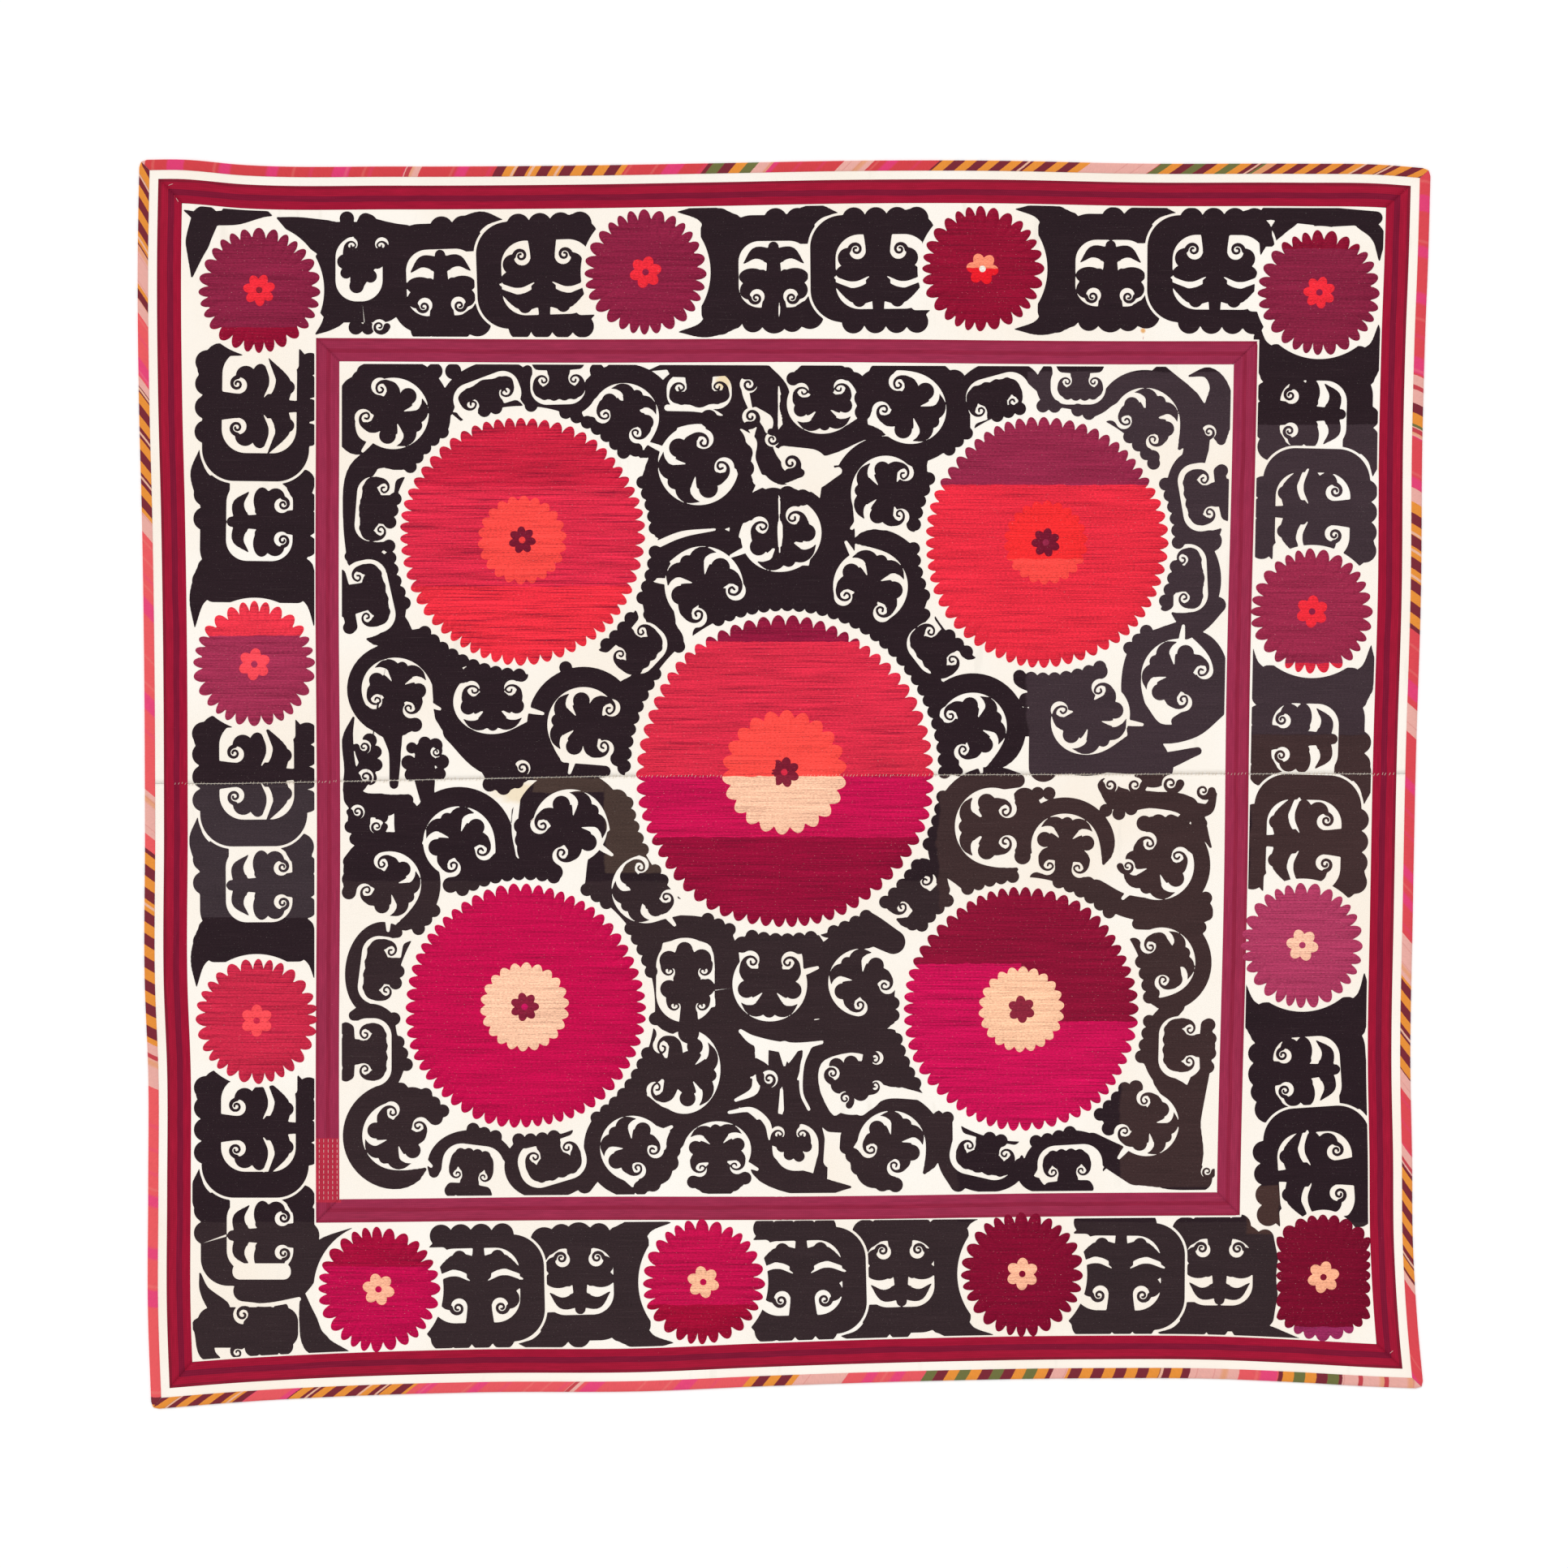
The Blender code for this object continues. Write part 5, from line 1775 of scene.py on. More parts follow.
LOOSE_LOBES = [Lobe(*row) for row in (
    (452, 458, 9), (535, 457, 10), (558, 457, 10), (735, 456, 9), (755, 456, 9), (893, 490, 8),
    (895, 504, 8), (906, 520, 8), (932, 548, 7), (934, 562, 8), (942, 576, 9), (956, 586, 8),
    (1264, 862, 9), (1262, 880, 9), (1265, 898, 9), (1052, 470, 12), (1050, 490, 12), (455, 912, 9),
    (462, 926, 8), (463, 942, 8), (455, 958, 9), (432, 1018, 8), (438, 1033, 8), (456, 1033, 8),
    (470, 1006, 8), (507, 921, 7), (503, 939, 9), (544, 938, 9), (541, 953, 8), (506, 954, 8),
    (523, 915, 8), (536, 918, 9), (603, 966, 9), (620, 970, 9), (637, 963, 8), (922, 1300, 8),
    (926, 1318, 8), (924, 1335, 7), (932, 1315, 9), (1278, 977, 8), (1292, 977, 8), (1362, 998, 8),
    (1378, 1002, 8), (1393, 996, 8), (1458, 1010, 8), (1476, 1016, 9), (1480, 1014, 7), (1513, 488, 9),
    (1513, 508, 9), (1485, 1106, 8), (1486, 1126, 8), (1478, 1142, 8),
)]


class Curl(NamedTuple):
    """A volute on its own: its middle, its radius and the side that its tail comes from."""

    x: float
    y: float
    radius: float
    side: int
    start: float = 0.0


CURLS = [Curl(*row) for row in (
    (922, 473, 11, 1, 250), (925, 513, 11, -1, 110), (951, 541, 9, 1, 260), (974, 570, 12, -1, 100),
    (448, 920, 9, -1), (450, 957, 10, -1), (440, 1000, 9, -1), (464, 1018, 9, 1),
    (537, 926, 7, 1, 270), (643, 946, 10, -1), (1489, 532, 9, -1), (947, 1329, 11, -1, 200),
    (1389, 1067, 9, -1), (1367, 967, 10, -1), (1398, 967, 10, 1), (1442, 965, 11, 1),
    (1482, 974, 10, 1), (1487, 1443, 8, 1), (1025, 1322, 9, 1, 100), (1041, 1353, 9, -1, 60),
)]


def curl(drawing, row):
    """A round hole with a spiral tail wound in it, joined to the hole's edge on one side."""
    drawing.cut(disc(row.x, row.y, row.radius))
    start = math.radians(row.start) + (math.pi if row.side < 0 and not row.start else 0)
    size = row.radius
    widths = np.array((0.95, 0.42, 0.27, 0.24, 0.22)) * size
    drawing.add(spiral(row.x, row.y, size * 1.05, size * 0.14, start, row.side * 8.4, widths))


print("loose lobes:", len(LOOSE_LOBES), "volutes:", len(CURLS))

# %% [markdown]
# A few bays fit neither kind. Each is a hole with a small palmette in it, whose body is given by a stroke
# and a few lobes.

# %% Bays with a form of their own
SMALL_PALMETTE = 34


def small_palmette(drawing, x, y, turn, half, body, lobes):
    """A pair of wound leaves, one at each side of a trunk, over a body of the given strokes and lobes."""
    for places, widths in body:
        drawing.add(stroke(places, widths))
    for lobe in lobes:
        drawing.add(disc(*lobe))
    frame = Frame(x, y, turn, SMALL_PALMETTE)
    for side in (-1, 1):
        wound_leaf(drawing, frame, half / SMALL_PALMETTE, 0, side, 0.35, 0.4)


def special_bays(drawing):
    """Three bays of the lower loom width that have a form of their own."""
    drawing.cut(block(844, 1207, 36, 52, 35))
    small_palmette(
        drawing, 847.5, 1240, UP, 15.5,
        [(((848, 1272), (848, 1240), (846, 1205)), (26, 20, 34))],
        [(824, 1218, 11), (869, 1216, 11)],
    )
    small_palmette(
        drawing, 845.5, 1197, UP, 20.5,
        [(((846, 1212), (845, 1190), (843, 1176)), (26, 34, 24))],
        [(843, 1170, 10), (824, 1183, 12), (864, 1181, 12)],
    )
    drawing.cut(oval(1050, 1335, 41, 38))
    small_palmette(
        drawing, 1079, 1321, LEFT, 16,
        [(((1104, 1318), (1079, 1321), (1050, 1326)), (44, 24, 40))],
        [(1048, 1309, 9), (1034, 1336, 11), (1060, 1346, 10), (1030, 1312, 9), (1042, 1342, 9)],
    )
    drawing.cut(block(981, 1413, 27, 29, 25))
    small_palmette(
        drawing, 973.5, 1396, DOWN, 13.5,
        [(((972, 1372), (974, 1396), (977, 1412)), (30, 18, 26))],
        [(963, 1412, 7), (972, 1422, 7), (984, 1424, 7), (993, 1412, 7)],
    )


print("a small palmette's unit:", SMALL_PALMETTE, "pixels")

# %% [markdown]
# The winding border has to turn at three corners. There the pattern is its own: leaves over the top
# rosettes, a small bay, and a leafy foot at the lower left.

# %% The border's corners
CORNER_STEMS = stems(
    (227, 259, 2, 250, 268, 16, 290, 267, 20, 320, 262, 13, 334, 265, 2),
    (252, 270, 34, 243, 298, 30, 236, 341, 2),
    (341, 268, 2, 368, 280, 26, 404, 294, 46),
    (450, 278, 24, 480, 281, 15, 503, 278, 2),
    (412, 390, 26, 402, 401, 14, 389, 411, 2),
    (1562, 263, 14, 1600, 265, 20, 1640, 267, 24, 1695, 268, 16),
    (1588, 268, 24, 1574, 283, 18, 1563, 303, 2),
    (1678, 272, 20, 1697, 290, 18, 1699, 320, 2),
    (300, 1590, 26, 352, 1592, 28, 380, 1568, 24, 396, 1535, 18, 440, 1511, 2),
    (246, 1568, 2, 252, 1590, 12, 270, 1612, 26),
    (372, 1592, 6, 379, 1625, 22, 390, 1655, 32, 430, 1666, 3),
    (252, 1640, 26, 255, 1666, 20, 274, 1677, 3),
    (1558, 1525, 22, 1564, 1570, 24, 1556, 1622, 26),
    (1530, 1636, 26, 1566, 1643, 18, 1600, 1649, 2),
)
CORNER_LOBES = [Lobe(*row) for row in (
    (282, 261, 9), (308, 262, 9), (427, 269, 9), (450, 271, 9), (398, 302, 13), (396, 320, 9),
    (438, 403, 9), (453, 404, 8), (1630, 277, 12), (1562, 262, 9), (325, 1611, 10), (346, 1612, 9),
    (246, 1633, 10), (312, 1660, 11), (331, 1664, 12), (350, 1658, 11),
)]
CORNER_CURLS = (Curl(467, 402, 9, 1), Curl(299, 1619, 12, -1, 60), Curl(292, 1666, 9, -1, 300))


def corner_pieces(drawing):
    """What turns the border's corners: leaves over the top rosettes, a small bay and a leafy foot."""
    drawing.add(block(443, 335, 53, 62, 26))
    drawing.add(block(305, 1635, 62, 25, 18))
    for stem in CORNER_STEMS:
        drawing.add(stroke(stem.places, stem.widths, 20))
    for lobe in CORNER_LOBES:
        drawing.add(disc(*lobe))
    drawing.cut(block(442, 331, 29, 40, 26))
    small_palmette(
        drawing, 451, 301, DOWN, 17,
        [(((452, 276), (449, 315), (441, 345)), (26, 36, 20))],
        [(424, 322, 9), (464, 322, 9), (439, 352, 9), (426, 336, 7), (456, 340, 8)],
    )
    for row in CORNER_CURLS:
        curl(drawing, row)


print("corner stems:", len(CORNER_STEMS), "corner lobes:", len(CORNER_LOBES))

# %% [markdown]
# The order matters. Stems come first, then what is cut out of them, then what lies in the cuts. Last, a
# bare ring is cut round every rosette, so that the cushions lie free.

# %% The whole drawing
SPANS = (
    ((388, 349), (795, 335), False),
    ((795, 335), (1210, 331), True),
    ((1210, 331), (1625, 334), True),
    ((1625, 360), (1616, 753), True),
    ((1616, 753), (1604, 1164), True),
    ((1604, 1164), (1631, 1572), True),
    ((1651, 1572), (1259, 1569), False),
    ((1259, 1569), (866, 1579), True),
    ((866, 1579), (466, 1588), True),
    ((316, 1684), (316, 1257), False),
    ((316, 1257), (313, 818), True),
    ((313, 818), (319, 357), True),
)


FIELD_MOAT = 4
BORDER_MOAT = 4
SCALLOP = 8.0
SCALLOP_STEP = 14.5
LOOK_OUT = 5


def scalloped_moat(drawing, rosette):
    """A bare ring round a large rosette. Where black thread faces it, the thread ends in small lobes."""
    gap = FIELD_MOAT + SCALLOP
    drawing.cut(oval(rosette.x, rosette.y, rosette.wide + gap - 1, rosette.high + gap - 1))
    count = round(2 * math.pi * (rosette.wide + gap) / SCALLOP_STEP)
    angles = np.linspace(0, 2 * math.pi, count, endpoint=False)
    for angle in angles:
        c, s = math.cos(angle), math.sin(angle)
        column = int(rosette.x + (rosette.wide + gap + LOOK_OUT) * c - drawing.x[0])
        row = int(rosette.y + (rosette.high + gap + LOOK_OUT) * s - drawing.y[0])
        if drawing.field[row, column] < -1:
            x = rosette.x + (rosette.wide + gap) * c
            y = rosette.y + (rosette.high + gap) * s
            drawing.add(disc(x, y, SCALLOP))


def draw_scrollwork():
    """The whole drawing: the border's stems, the field's bays, and a bare moat round every rosette."""
    drawing = Drawing(150, 180, 1790, 1760, 1.0)
    corner_pieces(drawing)
    for start, end, crown in SPANS:
        border_span(drawing, start, end, crown)
    drawing.cut(block(322, 1566, 36, 10, 9))
    drawing.cut(stroke(((292, 1606), (330, 1607), (368, 1600)), (2, 5, 5), 12))
    for stem in WEB:
        drawing.add(stroke(stem.places, stem.widths, 20))
    for lobe in LOOSE_LOBES:
        drawing.add(disc(*lobe))
    for ring in RINGS:
        stem_round(drawing, ring)
    for pocket in POCKETS:
        drawing.cut(stroke(pocket.places, pocket.widths, 20))
    for ring in RINGS:
        (bean_unit if ring.along < LOW_BAY else ring_unit)(drawing, ring)
    special_bays(drawing)
    for row in CURLS:
        curl(drawing, row)
    for rosette in ROSETTES:
        if rosette.heart:
            scalloped_moat(drawing, rosette)
        else:
            half_wide = rosette.flat or rosette.wide + BORDER_MOAT
            drawing.cut(oval(rosette.x, rosette.y, half_wide, rosette.high + BORDER_MOAT))
    return drawing


scrollwork = draw_scrollwork()
print("thread covers", round(float((scrollwork.field < 0).mean()), 3), "of the drawing")

# %% [markdown]
# The drawing becomes a mesh in three steps. Marching squares turns the field into outlines: where a side of
# a grid cell goes from thread to cotton, the outline crosses it. The outlines are then thinned where they
# run straight.

# %% Outlines of the thread
CROSSINGS = (
    (1, 3, 0), (2, 0, 1), (4, 1, 2), (8, 2, 3), (3, 3, 1), (6, 0, 2), (12, 1, 3), (9, 2, 0),
    (7, 3, 2), (14, 0, 3), (13, 1, 0), (11, 2, 1), (5, 3, 0), (5, 1, 2), (10, 0, 1), (10, 2, 3),
)
DOUBLINGS = 18
KEEP_EVERY = 3
KEEP_BEND = 0.25


def outlines(field, x, y):
    """Closed outlines of the thread by marching squares: their points and each point's successor.

    A point lies where the field is 0 between two neighbours of the grid. CROSSINGS lists, for each choice
    of a cell's corners in thread, the side that the outline enters by and the one that it leaves by.
    """
    inside = field < 0
    flat = inside[:, :-1] != inside[:, 1:]
    upright = inside[:-1] != inside[1:]
    flat_rows, flat_columns = np.nonzero(flat)
    up_rows, up_columns = np.nonzero(upright)
    near, far = field[flat_rows, flat_columns], field[flat_rows, flat_columns + 1]
    flat_x = x[flat_columns] + near / (near - far) * (x[1] - x[0])
    near, far = field[up_rows, up_columns], field[up_rows + 1, up_columns]
    up_y = y[up_rows] + near / (near - far) * (y[1] - y[0])
    points = np.concatenate((np.stack((flat_x, y[flat_rows]), 1), np.stack((x[up_columns], up_y), 1)))
    flat_ids = np.full(flat.shape, -1)
    flat_ids[flat] = np.arange(len(flat_x))
    up_ids = np.full(upright.shape, -1)
    up_ids[upright] = len(flat_x) + np.arange(len(up_y))
    code = inside[:-1, :-1] + 2 * inside[:-1, 1:] + 4 * inside[1:, 1:] + 8 * inside[1:, :-1]
    sides = (flat_ids[:-1], up_ids[:, 1:], flat_ids[1:], up_ids[:, :-1])
    following = np.zeros(len(points), int)
    for number, entry, leaving in CROSSINGS:
        here = code == number
        following[sides[entry][here]] = sides[leaving][here]
    return points, following


def thinned(points, following):
    """Each loop in order, keeping one point in every few, and more where it bends.

    Loops are found by doubling the jumps: after each round a point knows twice as many of its successors.
    """
    count = len(following)
    loop, jump = np.arange(count), following.copy()
    for _ in range(DOUBLINGS):
        loop = np.minimum(loop, loop[jump])
        jump = jump[jump]
    last = following == loop
    place = np.where(last, 0, 1)
    jump = np.where(last, np.arange(count), following)
    for _ in range(DOUBLINGS):
        place = place + place[jump]
        jump = jump[jump]
    order = np.lexsort((-place, loop))
    points, loop = points[order], loop[order]
    starts = np.r_[0, np.nonzero(np.diff(loop))[0] + 1]
    sizes = np.diff(np.r_[starts, len(loop)])
    first, size = np.repeat(starts, sizes), np.repeat(sizes, sizes)
    index = np.arange(len(loop)) - first
    back = points - points[first + (index - 2) % size]
    ahead = points[first + (index + 2) % size] - points
    turn = np.abs(back[:, 0] * ahead[:, 1] - back[:, 1] * ahead[:, 0])
    turn /= np.maximum(np.hypot(*back.T) * np.hypot(*ahead.T), 1e-9)
    keep = ((index % KEEP_EVERY == 0) | ((turn > KEEP_BEND) & (index % 2 == 0))) & (size > 4 * KEEP_EVERY)
    points, loop = points[keep], loop[keep]
    starts = np.r_[0, np.nonzero(np.diff(loop))[0] + 1]
    after = np.arange(len(loop)) + 1
    after[np.r_[starts[1:] - 1, len(loop) - 1]] = starts
    return points, after


print("ways that an outline can cross a cell:", len(CROSSINGS))

# %% [markdown]
# Blender's constrained triangulation fills the outlines, and keeps every outline as an edge. The stitching
# is a closed solid: a top that is drawn in a little, sloping sides, and a flat foot.

# %% Outlines filled and raised
DRAWN_IN_PIXELS = 0.45
WALL_HEIGHT = 0.0002
MERGE_DISTANCE = 1e-9


def sampled(drawing, points):
    """The field and its slope at any points, blended between the four nearest of the grid."""
    step = drawing.step
    column = (points[:, 0] - drawing.x[0]) / step
    row = (points[:, 1] - drawing.y[0]) / step
    i = np.clip(column.astype(int), 1, len(drawing.x) - 3)
    j = np.clip(row.astype(int), 1, len(drawing.y) - 3)
    a, b = column - i, row - j

    def blend(grid):
        here = grid[j, i] * (1 - a) + grid[j, i + 1] * a
        below = grid[j + 1, i] * (1 - a) + grid[j + 1, i + 1] * a
        return here * (1 - b) + below * b

    down, right = np.gradient(drawing.field, step)
    return blend(drawing.field), np.stack((blend(right), blend(down)), axis=1)


def raise_thread(name, drawing):
    """A closed solid of stitching over the drawing's thread."""
    field = drawing.field
    field[0] = field[-1] = 1.0
    field[:, 0] = field[:, -1] = 1.0
    points, after = thinned(*outlines(field, drawing.x, drawing.y))
    count = len(points)
    links = np.stack((np.arange(count), after), axis=1)
    spots = metres(points)
    corners = [tuple(spot) for spot in spots.tolist()]
    found = delaunay_2d_cdt(corners, [tuple(link) for link in links.tolist()], [], 0, MERGE_DISTANCE)
    placed = np.array([tuple(p) for p in found[0]])
    source = np.array([ids[0] if ids else -1 for ids in found[3]])
    faces = np.array(found[2])
    if len(placed) != count or (source < 0).any():
        print(name, "has", len(placed) - count, "points more than its outlines")
    a, b, c = (placed[faces[:, k]] for k in range(3))
    turned = (b[:, 0] - a[:, 0]) * (c[:, 1] - a[:, 1]) < (b[:, 1] - a[:, 1]) * (c[:, 0] - a[:, 0])
    faces[turned] = faces[turned][:, ::-1]
    back = (placed[faces].mean(axis=1) / (METRES_PER_PIXEL, -METRES_PER_PIXEL)) + MIDDLE_PIXEL
    middle_value, _ = sampled(drawing, back)
    linked = source[faces]
    key = linked * count + np.roll(linked, -1, axis=1)
    forward = np.isin(key, links[:, 0] * count + links[:, 1]).any(axis=1)
    backward = np.isin(key, links[:, 1] * count + links[:, 0]).any(axis=1)
    thread = np.where(forward & ~backward, True, np.where(backward & ~forward, False, middle_value < 0))
    kept = linked[thread]
    _, slope = sampled(drawing, points)
    slope /= np.maximum(np.hypot(*slope.T), 1e-6)[:, None]
    drawn_in = metres(points - slope * DRAWN_IN_PIXELS)
    lie = lie_of(spots[:, 0], spots[:, 1])
    top = np.column_stack((drawn_in, STITCH_TOP + lie))
    rim = np.column_stack((spots, STITCH_FOOT + WALL_HEIGHT + lie))
    foot = np.column_stack((spots, STITCH_FOOT + lie))
    edges = np.concatenate([kept[:, (k, (k + 1) % 3)] for k in range(3)])
    keys = edges[:, 0] * count + edges[:, 1]
    open_edges = edges[~np.isin(keys, edges[:, 1] * count + edges[:, 0])]
    start, end = open_edges.T
    walls = []
    for upper, lower in ((0, count), (count, 2 * count)):
        walls.append(np.stack((start + upper, start + lower, end + lower), axis=1))
        walls.append(np.stack((start + upper, end + lower, end + upper), axis=1))
    triangles = np.concatenate([kept, kept[:, ::-1] + 2 * count] + walls)
    obj = mesh_object(name, np.concatenate((top, rim, foot)), triangles, smooth=False)
    print(name, ":", count, "outline points,", len(triangles), "triangles")
    return obj


print("the thread stands", round(STITCH_TOP - STITCH_FOOT, 4), "m high")

# %% [markdown]
# The seam and the inner frame part the scrollwork into four pieces: the upper and the lower half of the
# border, and of the field. Each piece is the drawing kept to its own region. A region is a field as well,
# so the larger of the two values at each place is the drawing inside the region.

# %% The scrollwork in four pieces
INNER_FRAME_PIXELS = np.array(((389, 1506), (1527, 1497), (1549, 420), (389, 416)), float)
BAND_GAP_PIXELS = 2.0
INNER_FRAME_WIDTH_PIXELS = INNER_BAND_WIDTH / METRES_PER_PIXEL
SEAM_GAP_PIXELS = 0.35
FRAME_GAP_PIXELS = 3.0


def outside_quad(x, y, corners, grow):
    """How far a place is outside a four-sided region whose corners go round anticlockwise on the cloth."""
    away = np.full((len(y), len(x)), -FAR, np.float32)
    for start, end in zip(corners, np.roll(corners, -1, axis=0)):
        run = (end - start) / np.hypot(*(end - start))
        right = (x[None] - start[0]) * -run[1] + (y[:, None] - start[1]) * run[0]
        away = np.maximum(away, right - grow)
    return away


def seam_pixels(x):
    return MIDDLE_PIXEL - seam_height((x - MIDDLE_PIXEL) * METRES_PER_PIXEL) / METRES_PER_PIXEL


def kept_to(drawing, *limits):
    """The same drawing with the field raised wherever a place is outside one of the limits."""
    part = Drawing(0, 0, 1, 1, drawing.step)
    part.x, part.y = drawing.x, drawing.y
    part.field = np.maximum.reduce((drawing.field, *limits)).astype(np.float32)
    return part


below_seam = scrollwork.y[:, None] - seam_pixels(scrollwork.x)[None]
past_inner = outside_quad(scrollwork.x, scrollwork.y, INNER_FRAME_PIXELS, 0.0)
past_field = outside_quad(scrollwork.x, scrollwork.y, INNER_FRAME_PIXELS, -INNER_FRAME_WIDTH_PIXELS)


def past_band(side):
    """How far a place is past the outer frame's inner line, which bows with the cloth."""
    line = outer_line(side, OUTER_BAND_WIDTH, np.linspace(0, 1, 60))
    across = MIDDLE_PIXEL + line[:, 0] / METRES_PER_PIXEL
    down = MIDDLE_PIXEL - line[:, 1] / METRES_PER_PIXEL
    outward = 1 if side in ("right", "bottom") else -1
    if side in ("left", "right"):
        order = np.argsort(down)
        edge = np.interp(scrollwork.y, down[order], across[order])[:, None]
        return (scrollwork.x[None] - edge) * outward
    order = np.argsort(across)
    edge = np.interp(scrollwork.x, across[order], down[order])[None]
    return (scrollwork.y[:, None] - edge) * outward


past_outer = np.maximum.reduce([past_band(side) for side in SIDES]) + BAND_GAP_PIXELS
PARTS = {
    "scrolls_border_upper": (below_seam + SEAM_GAP_PIXELS, past_outer, BAND_GAP_PIXELS - past_inner),
    "scrolls_border_lower": (-below_seam + SEAM_GAP_PIXELS, past_outer, BAND_GAP_PIXELS - past_inner),
    "scrolls_field_upper": (below_seam + SEAM_GAP_PIXELS, past_field + FRAME_GAP_PIXELS),
    "scrolls_field_lower": (-below_seam + SEAM_GAP_PIXELS, past_field + FRAME_GAP_PIXELS),
}
scrolls = {name: raise_thread(name, kept_to(scrollwork, *limits)) for name, limits in PARTS.items()}
print("scrollwork pieces:", len(scrolls))

# %% [markdown]
# The black isn't one black. It was dyed with iron, in several lots: the first stays deep, one has faded to
# charcoal and one has rotted to brown. The lots change on level lines. Laid thread runs from side to side,
# so the colour has long level streaks with a fine twill of tie-down stitches over them.

# %% The black thread


class Lot(NamedTuple):
    """A patch of another dye lot: its box in pixels and its colour."""

    left: float
    top: float
    right: float
    bottom: float
    colour: str


DEEP_BLACK = "#27181e"
LOTS = [Lot(*row) for row in (
    (390, 1085, 1180, 1510, "#322326"),
    (190, 1505, 1760, 1700, "#322427"),
    (1265, 458, 1530, 953, "#3d2e34"),
    (1540, 523, 1740, 905, "#3d2e34"),
    (190, 966, 390, 1130, "#3a2e33"),
    (1155, 953, 1400, 1140, "#3d2a2a"),
    (1380, 953, 1530, 1462, "#3d2a2a"),
    (1540, 905, 1740, 1112, "#3f2b2b"),
    (1535, 1460, 1576, 1520, "#452f2b"),
    (745, 958, 826, 1075, "#473630"),
    (655, 958, 745, 976, "#473630"),
)]
black = Finish("iron_black_thread", 0.55)
ragged_x = (black.noise(black.spot(black.x * 30, black.y * 30), 1.0, 2.0) - 0.5) * 0.02
ragged_y = (black.noise(black.spot(black.x * 30 + 40, black.y * 90), 1.0, 2.0) - 0.5) * 0.006
colour = black.plain(DEEP_BLACK)
for lot in LOTS:
    (left, top), (right, bottom) = metres(((lot.left, lot.top), (lot.right, lot.bottom))).tolist()
    level, across = black.y + ragged_y, black.x + ragged_x
    inside = level.above(bottom, 0.002) * (top - level).above(0.0, 0.002)
    inside = inside * across.above(left, 0.004) * (right - across).above(0.0, 0.004)
    colour = black.mix(inside, colour, lot.colour)
streak = black.noise(black.spot(black.x * 14, black.y * 620), 1.0, 3.0, 0.6)
patch = black.noise(black.spot(black.x * 6, black.y * 40), 1.0, 2.0)
twill = ((black.x * 0.45 + black.y) * 3300).wave()
grain = black.noise(black.spot(black.x * 300, black.y * 600), 1.0, 2.0, 0.7)
colour = black.shade(colour, -0.15 + streak * 0.8 + patch * 0.3 + grain * 1.2 + twill * 0.04)
faded = streak.above(0.68, 0.1) * 0.14
colour = black.mix(faded, colour, "#6a605c")
fleck = black.noise(black.spot(black.x * 420, black.y * 800), 1.0, 1.0).above(0.74, 0.03) * 0.45
colour = black.mix(fleck, colour, "#8d857f")
black.colour(colour)
black.relief(streak + twill * 0.25, 0.0006, 0.5)
for piece in scrolls.values():
    piece.data.materials.append(black.material)
print("dye lots of black:", len(LOTS) + 1)

# %% [markdown]
# The two loom widths are joined by hand with a whipped seam in pale thread, which shows as a row of small
# slanting stitches. Each is a low rounded bar with a dozen faces, all made as one array: one bar's points,
# turned and moved to every place.

# %% The seam and its stitches
SEAM_STITCHES = 340
STITCH_LENGTH = 0.0052
STITCH_WIDTH = 0.0008
STITCH_SECTION = np.array(((-0.5, 0.0), (0.5, 0.0), (0.25, 1.0), (-0.25, 1.0)))
STITCH_STATIONS = np.array((-0.5, -0.3, 0.3, 0.5))
STITCH_SWELL = np.array((0.35, 1.0, 1.0, 0.35))


def make_stitches(name, spots, turns, lengths, width, low, high):
    """Small bars: a four-sided section carried along each stitch, closed at both ends."""
    count, stations, around = len(spots), len(STITCH_STATIONS), len(STITCH_SECTION)
    along = STITCH_STATIONS[None, :, None] * lengths[:, None, None] * np.ones((1, 1, around))
    side = STITCH_SECTION[None, None, :, 0] * width * STITCH_SWELL[None, :, None] * np.ones((count, 1, 1))
    rise = STITCH_SECTION[None, None, :, 1] * (high - low) * STITCH_SWELL[None, :, None]
    rise = low + rise * np.ones((count, 1, 1))
    c, s = np.cos(turns)[:, None, None], np.sin(turns)[:, None, None]
    x = spots[:, 0, None, None] + along * c - side * s
    y = spots[:, 1, None, None] + along * s + side * c
    points = np.stack((x, y, rise + lie_of(x, y)), axis=3).reshape(-1, 3)
    tube = grid_faces(stations, around, close_columns=True)[:, ::-1]
    ends = np.array(((0, 1, 2, 3), tuple((stations - 1) * around + k for k in (3, 2, 1, 0))))[:, ::-1]
    one = np.concatenate((tube, ends))
    faces = (one[None] + (np.arange(count) * stations * around)[:, None, None]).reshape(-1, 4)
    return mesh_object(name, points, faces)


def thread_finish(name, first, second):
    """Plain sewing thread: its colour drifts between two, and its ply is bump."""
    finish = Finish(name, 0.7, sheen=0.1)
    drift = finish.noise(finish.place, 90.0, 2.0)
    finish.colour(finish.mix(drift.above(0.5, 0.3), first, second))
    finish.relief(((finish.x + finish.y) * 4200).wave(), 0.0003, 0.4)
    return finish


rng = np.random.default_rng(7)
seam_x = np.linspace(-0.99, 0.99, SEAM_STITCHES) + rng.normal(0, 0.0008, SEAM_STITCHES)
seam_spots = np.stack((seam_x, seam_height(seam_x) + rng.normal(0, 0.0006, SEAM_STITCHES)), axis=1)
seam_turns = rng.normal(1.15, 0.18, SEAM_STITCHES)
seam_lengths = STITCH_LENGTH * rng.uniform(0.7, 1.2, SEAM_STITCHES)
seam = make_stitches("seam_stitches", seam_spots, seam_turns, seam_lengths, STITCH_WIDTH, 0.0008, 0.0019)
seam.data.materials.append(thread_finish("pale_sewing_thread", "#efe4d2", "#dccbb4").material)
print("seam stitches:", SEAM_STITCHES)

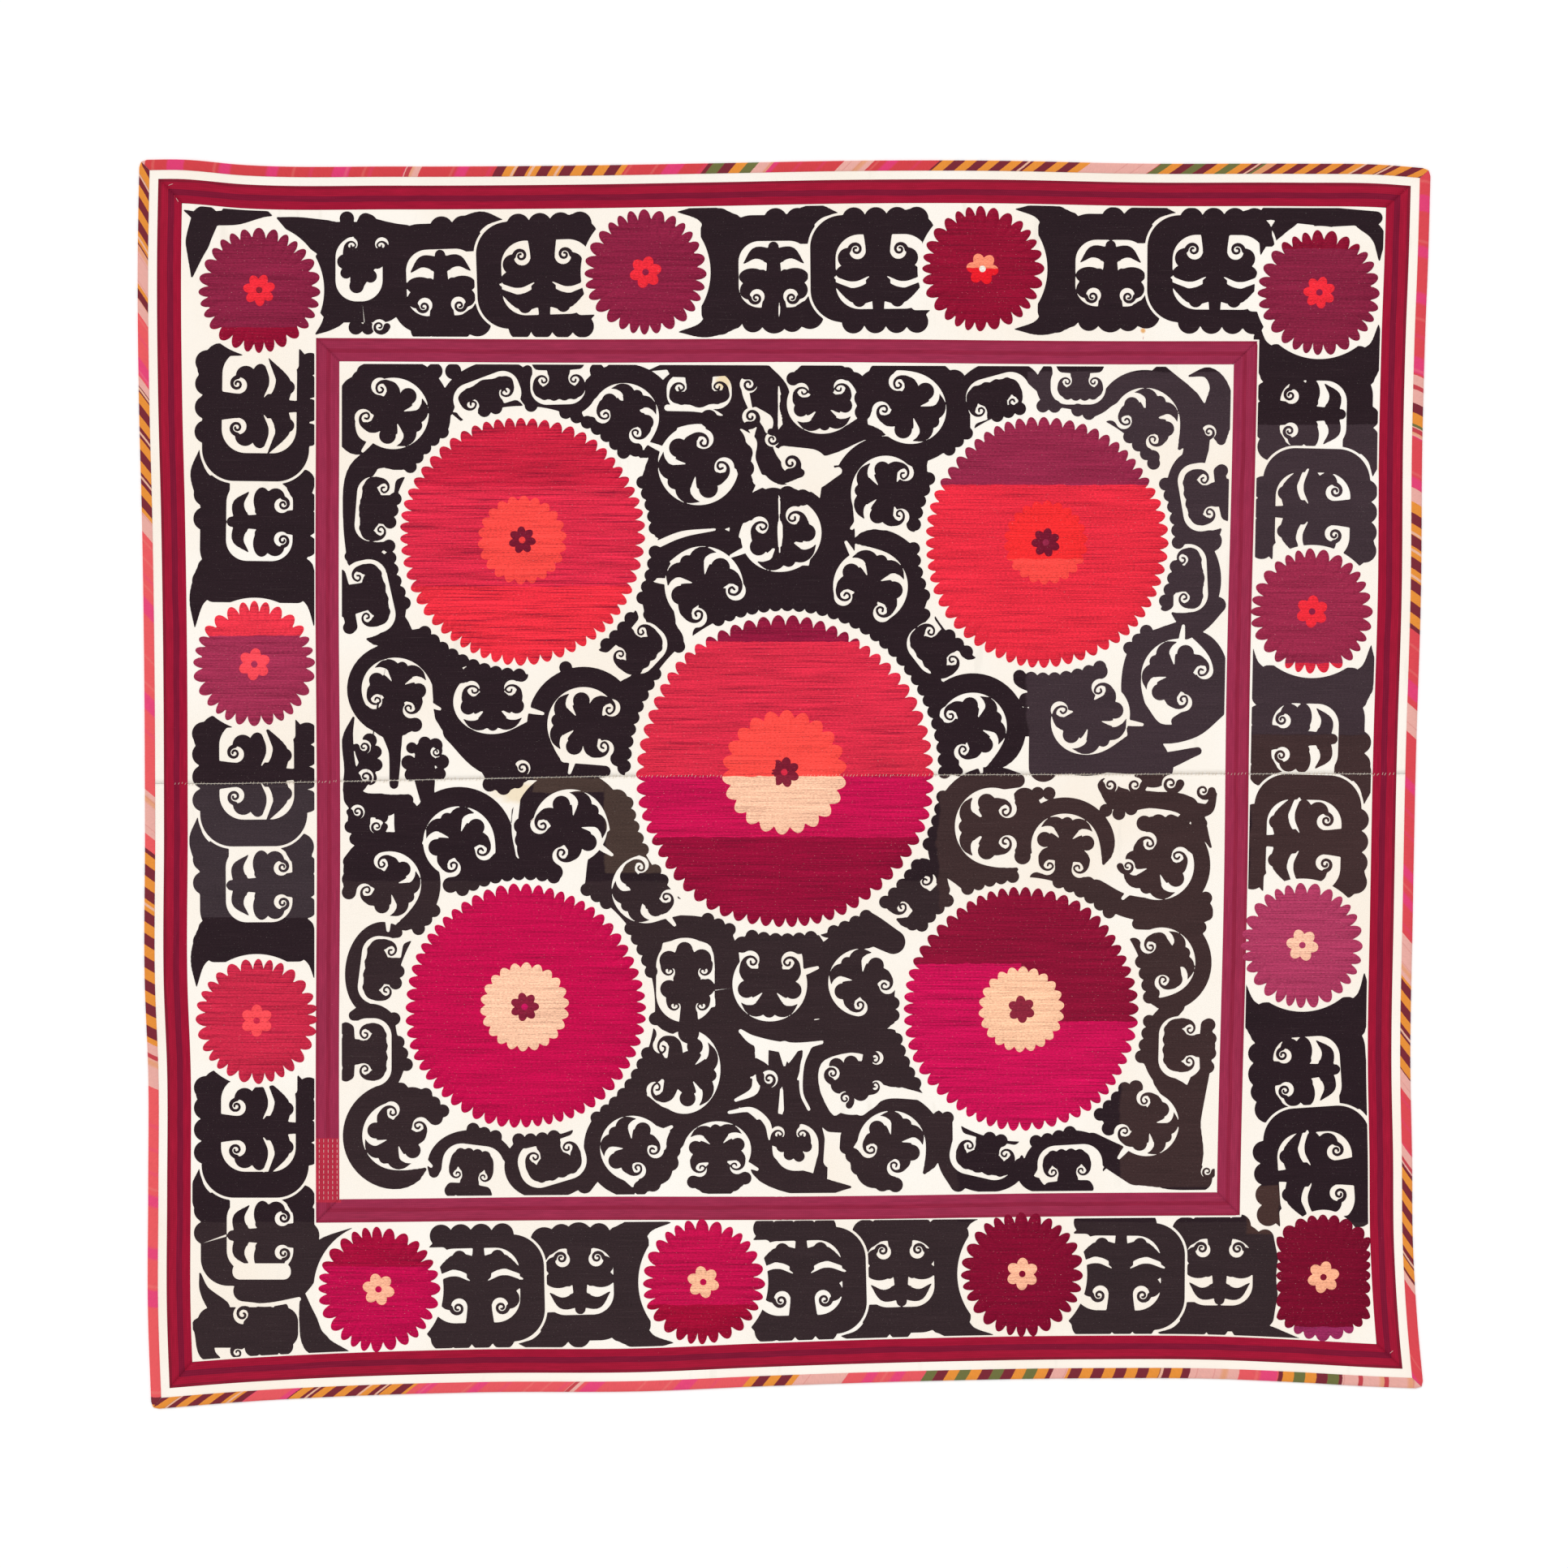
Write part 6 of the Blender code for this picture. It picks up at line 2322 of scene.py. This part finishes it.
# %% [markdown]
# On the left of the inner frame a worn place was mended in red, with short pale stitches in rows over it. A
# few pale stitches also hold the outer frame's corner. They use the same bars as the seam.

# %% The mend and the stray stitches


def pixel_stitches(name, rows, width, low, high, finish):
    """Stitches placed by pixel: each row gives a place, a turn in degrees, and a length in pixels."""
    table = np.array(rows, float)
    turns, lengths = np.radians(table[:, 2]), table[:, 3] * METRES_PER_PIXEL
    piece = make_stitches(name, metres(table[:, :2]), turns, lengths, width, low, high)
    piece.data.materials.append(finish.material)
    return piece


mend_rows = [(393 + 5.5 * column, 1405 + 6.4 * row, 90, 4.2) for row in range(12) for column in range(5)]
stray_rows = (
    (210, 227, 20, 7), (218, 246, -60, 6), (1714, 1665, 40, 6), (1408, 416, 80, 4), (655, 1010, 30, 7),
)
pale_mend = thread_finish("pale_mending_thread", "#f0dcd2", "#e6b9b4")
mend = pixel_stitches("mend_stitches", mend_rows, 0.0009, 0.0015, 0.0020, pale_mend)
stray = pixel_stitches("stray_stitches", stray_rows, 0.0009, 0.0009, 0.0019, pale_mend)
small_pieces = [mend, stray]
print("mend:", len(mend_rows), "stitches; stray:", len(stray_rows))

# %% [markdown]
# The photograph has no shadows and a pure white background, as when a textile lies on a light table. So the
# floor is nearly white, the world is an even white, and one large soft lamp adds just enough direction for
# the stitching to show. The camera looks straight down, and its lens and height give the photograph's scale.

# %% Camera, floor and light
LENS = 100.0
SENSOR = 36.0
CAMERA_HEIGHT = PHOTO_SIDE * METRES_PER_PIXEL * LENS / SENSOR
FLOOR_HALF = 6.0
FLOOR_DROP = 0.0002
WORLD_STRENGTH = 0.80
LAMP_STRENGTH = 0.95

scene = bpy.context.scene
scene.view_settings.view_transform = "Standard"
camera_data = bpy.data.cameras.new("camera")
camera_data.lens = LENS
camera_data.sensor_width = SENSOR
camera_data.clip_end = 50.0
camera = bpy.data.objects.new("camera", camera_data)
camera.location = (0.0, 0.0, CAMERA_HEIGHT)
scene.collection.objects.link(camera)
scene.camera = camera

corner = FLOOR_HALF * np.array(((-1, -1), (1, -1), (1, 1), (-1, 1)))
floor_points = np.column_stack((corner, np.full(4, -FLOOR_DROP)))
floor = mesh_object("floor", floor_points, np.array(((0, 1, 2, 3),)), False)
pale_floor = Finish("pale_floor", 0.9)
pale_floor.colour(pale_floor.plain("#ffffff"))
floor.data.materials.append(pale_floor.material)
floor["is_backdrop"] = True

world = bpy.data.worlds.new("even_white")
world.use_nodes = True
world.node_tree.nodes["Background"].inputs["Color"].default_value = (1.0, 1.0, 1.0, 1.0)
world.node_tree.nodes["Background"].inputs["Strength"].default_value = WORLD_STRENGTH
scene.world = world
lamp_data = bpy.data.lights.new("soft_lamp", "SUN")
lamp_data.energy = LAMP_STRENGTH
lamp_data.angle = math.radians(25)
lamp = bpy.data.objects.new("soft_lamp", lamp_data)
lamp.rotation_euler = (math.radians(38), 0.0, math.radians(205))
scene.collection.objects.link(lamp)
print("camera height:", round(CAMERA_HEIGHT, 3), "m")

# %% [markdown]
# Last, every piece is tied to the object's one body, and the six plain solids are hidden behind the pieces
# that stand for them.

# %% Tie the pieces together
every_piece = [ground_upper, ground_lower, seam, *strips.values(), *bands]
every_piece += [*rosette_pieces, *scrolls.values(), *small_pieces]
for piece in every_piece:
    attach(piece, "root")
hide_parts("panel_upper")
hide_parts("panel_lower")
for side, strip in strips.items():
    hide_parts(f"binding_{side}")

print("pieces:", len(every_piece))

# %% [markdown]
# The finer pieces have to be as large as the solids that they stand for. Both boxes are printed, so that
# they can be compared.

# %% Print the sizes and finish
visual_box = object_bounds()
sizes = {
    "cad": [[float(v) for v in corner] for corner in cad_box],
    "visual": [[float(v) for v in corner] for corner in visual_box],
}
print("sizes:", sizes)
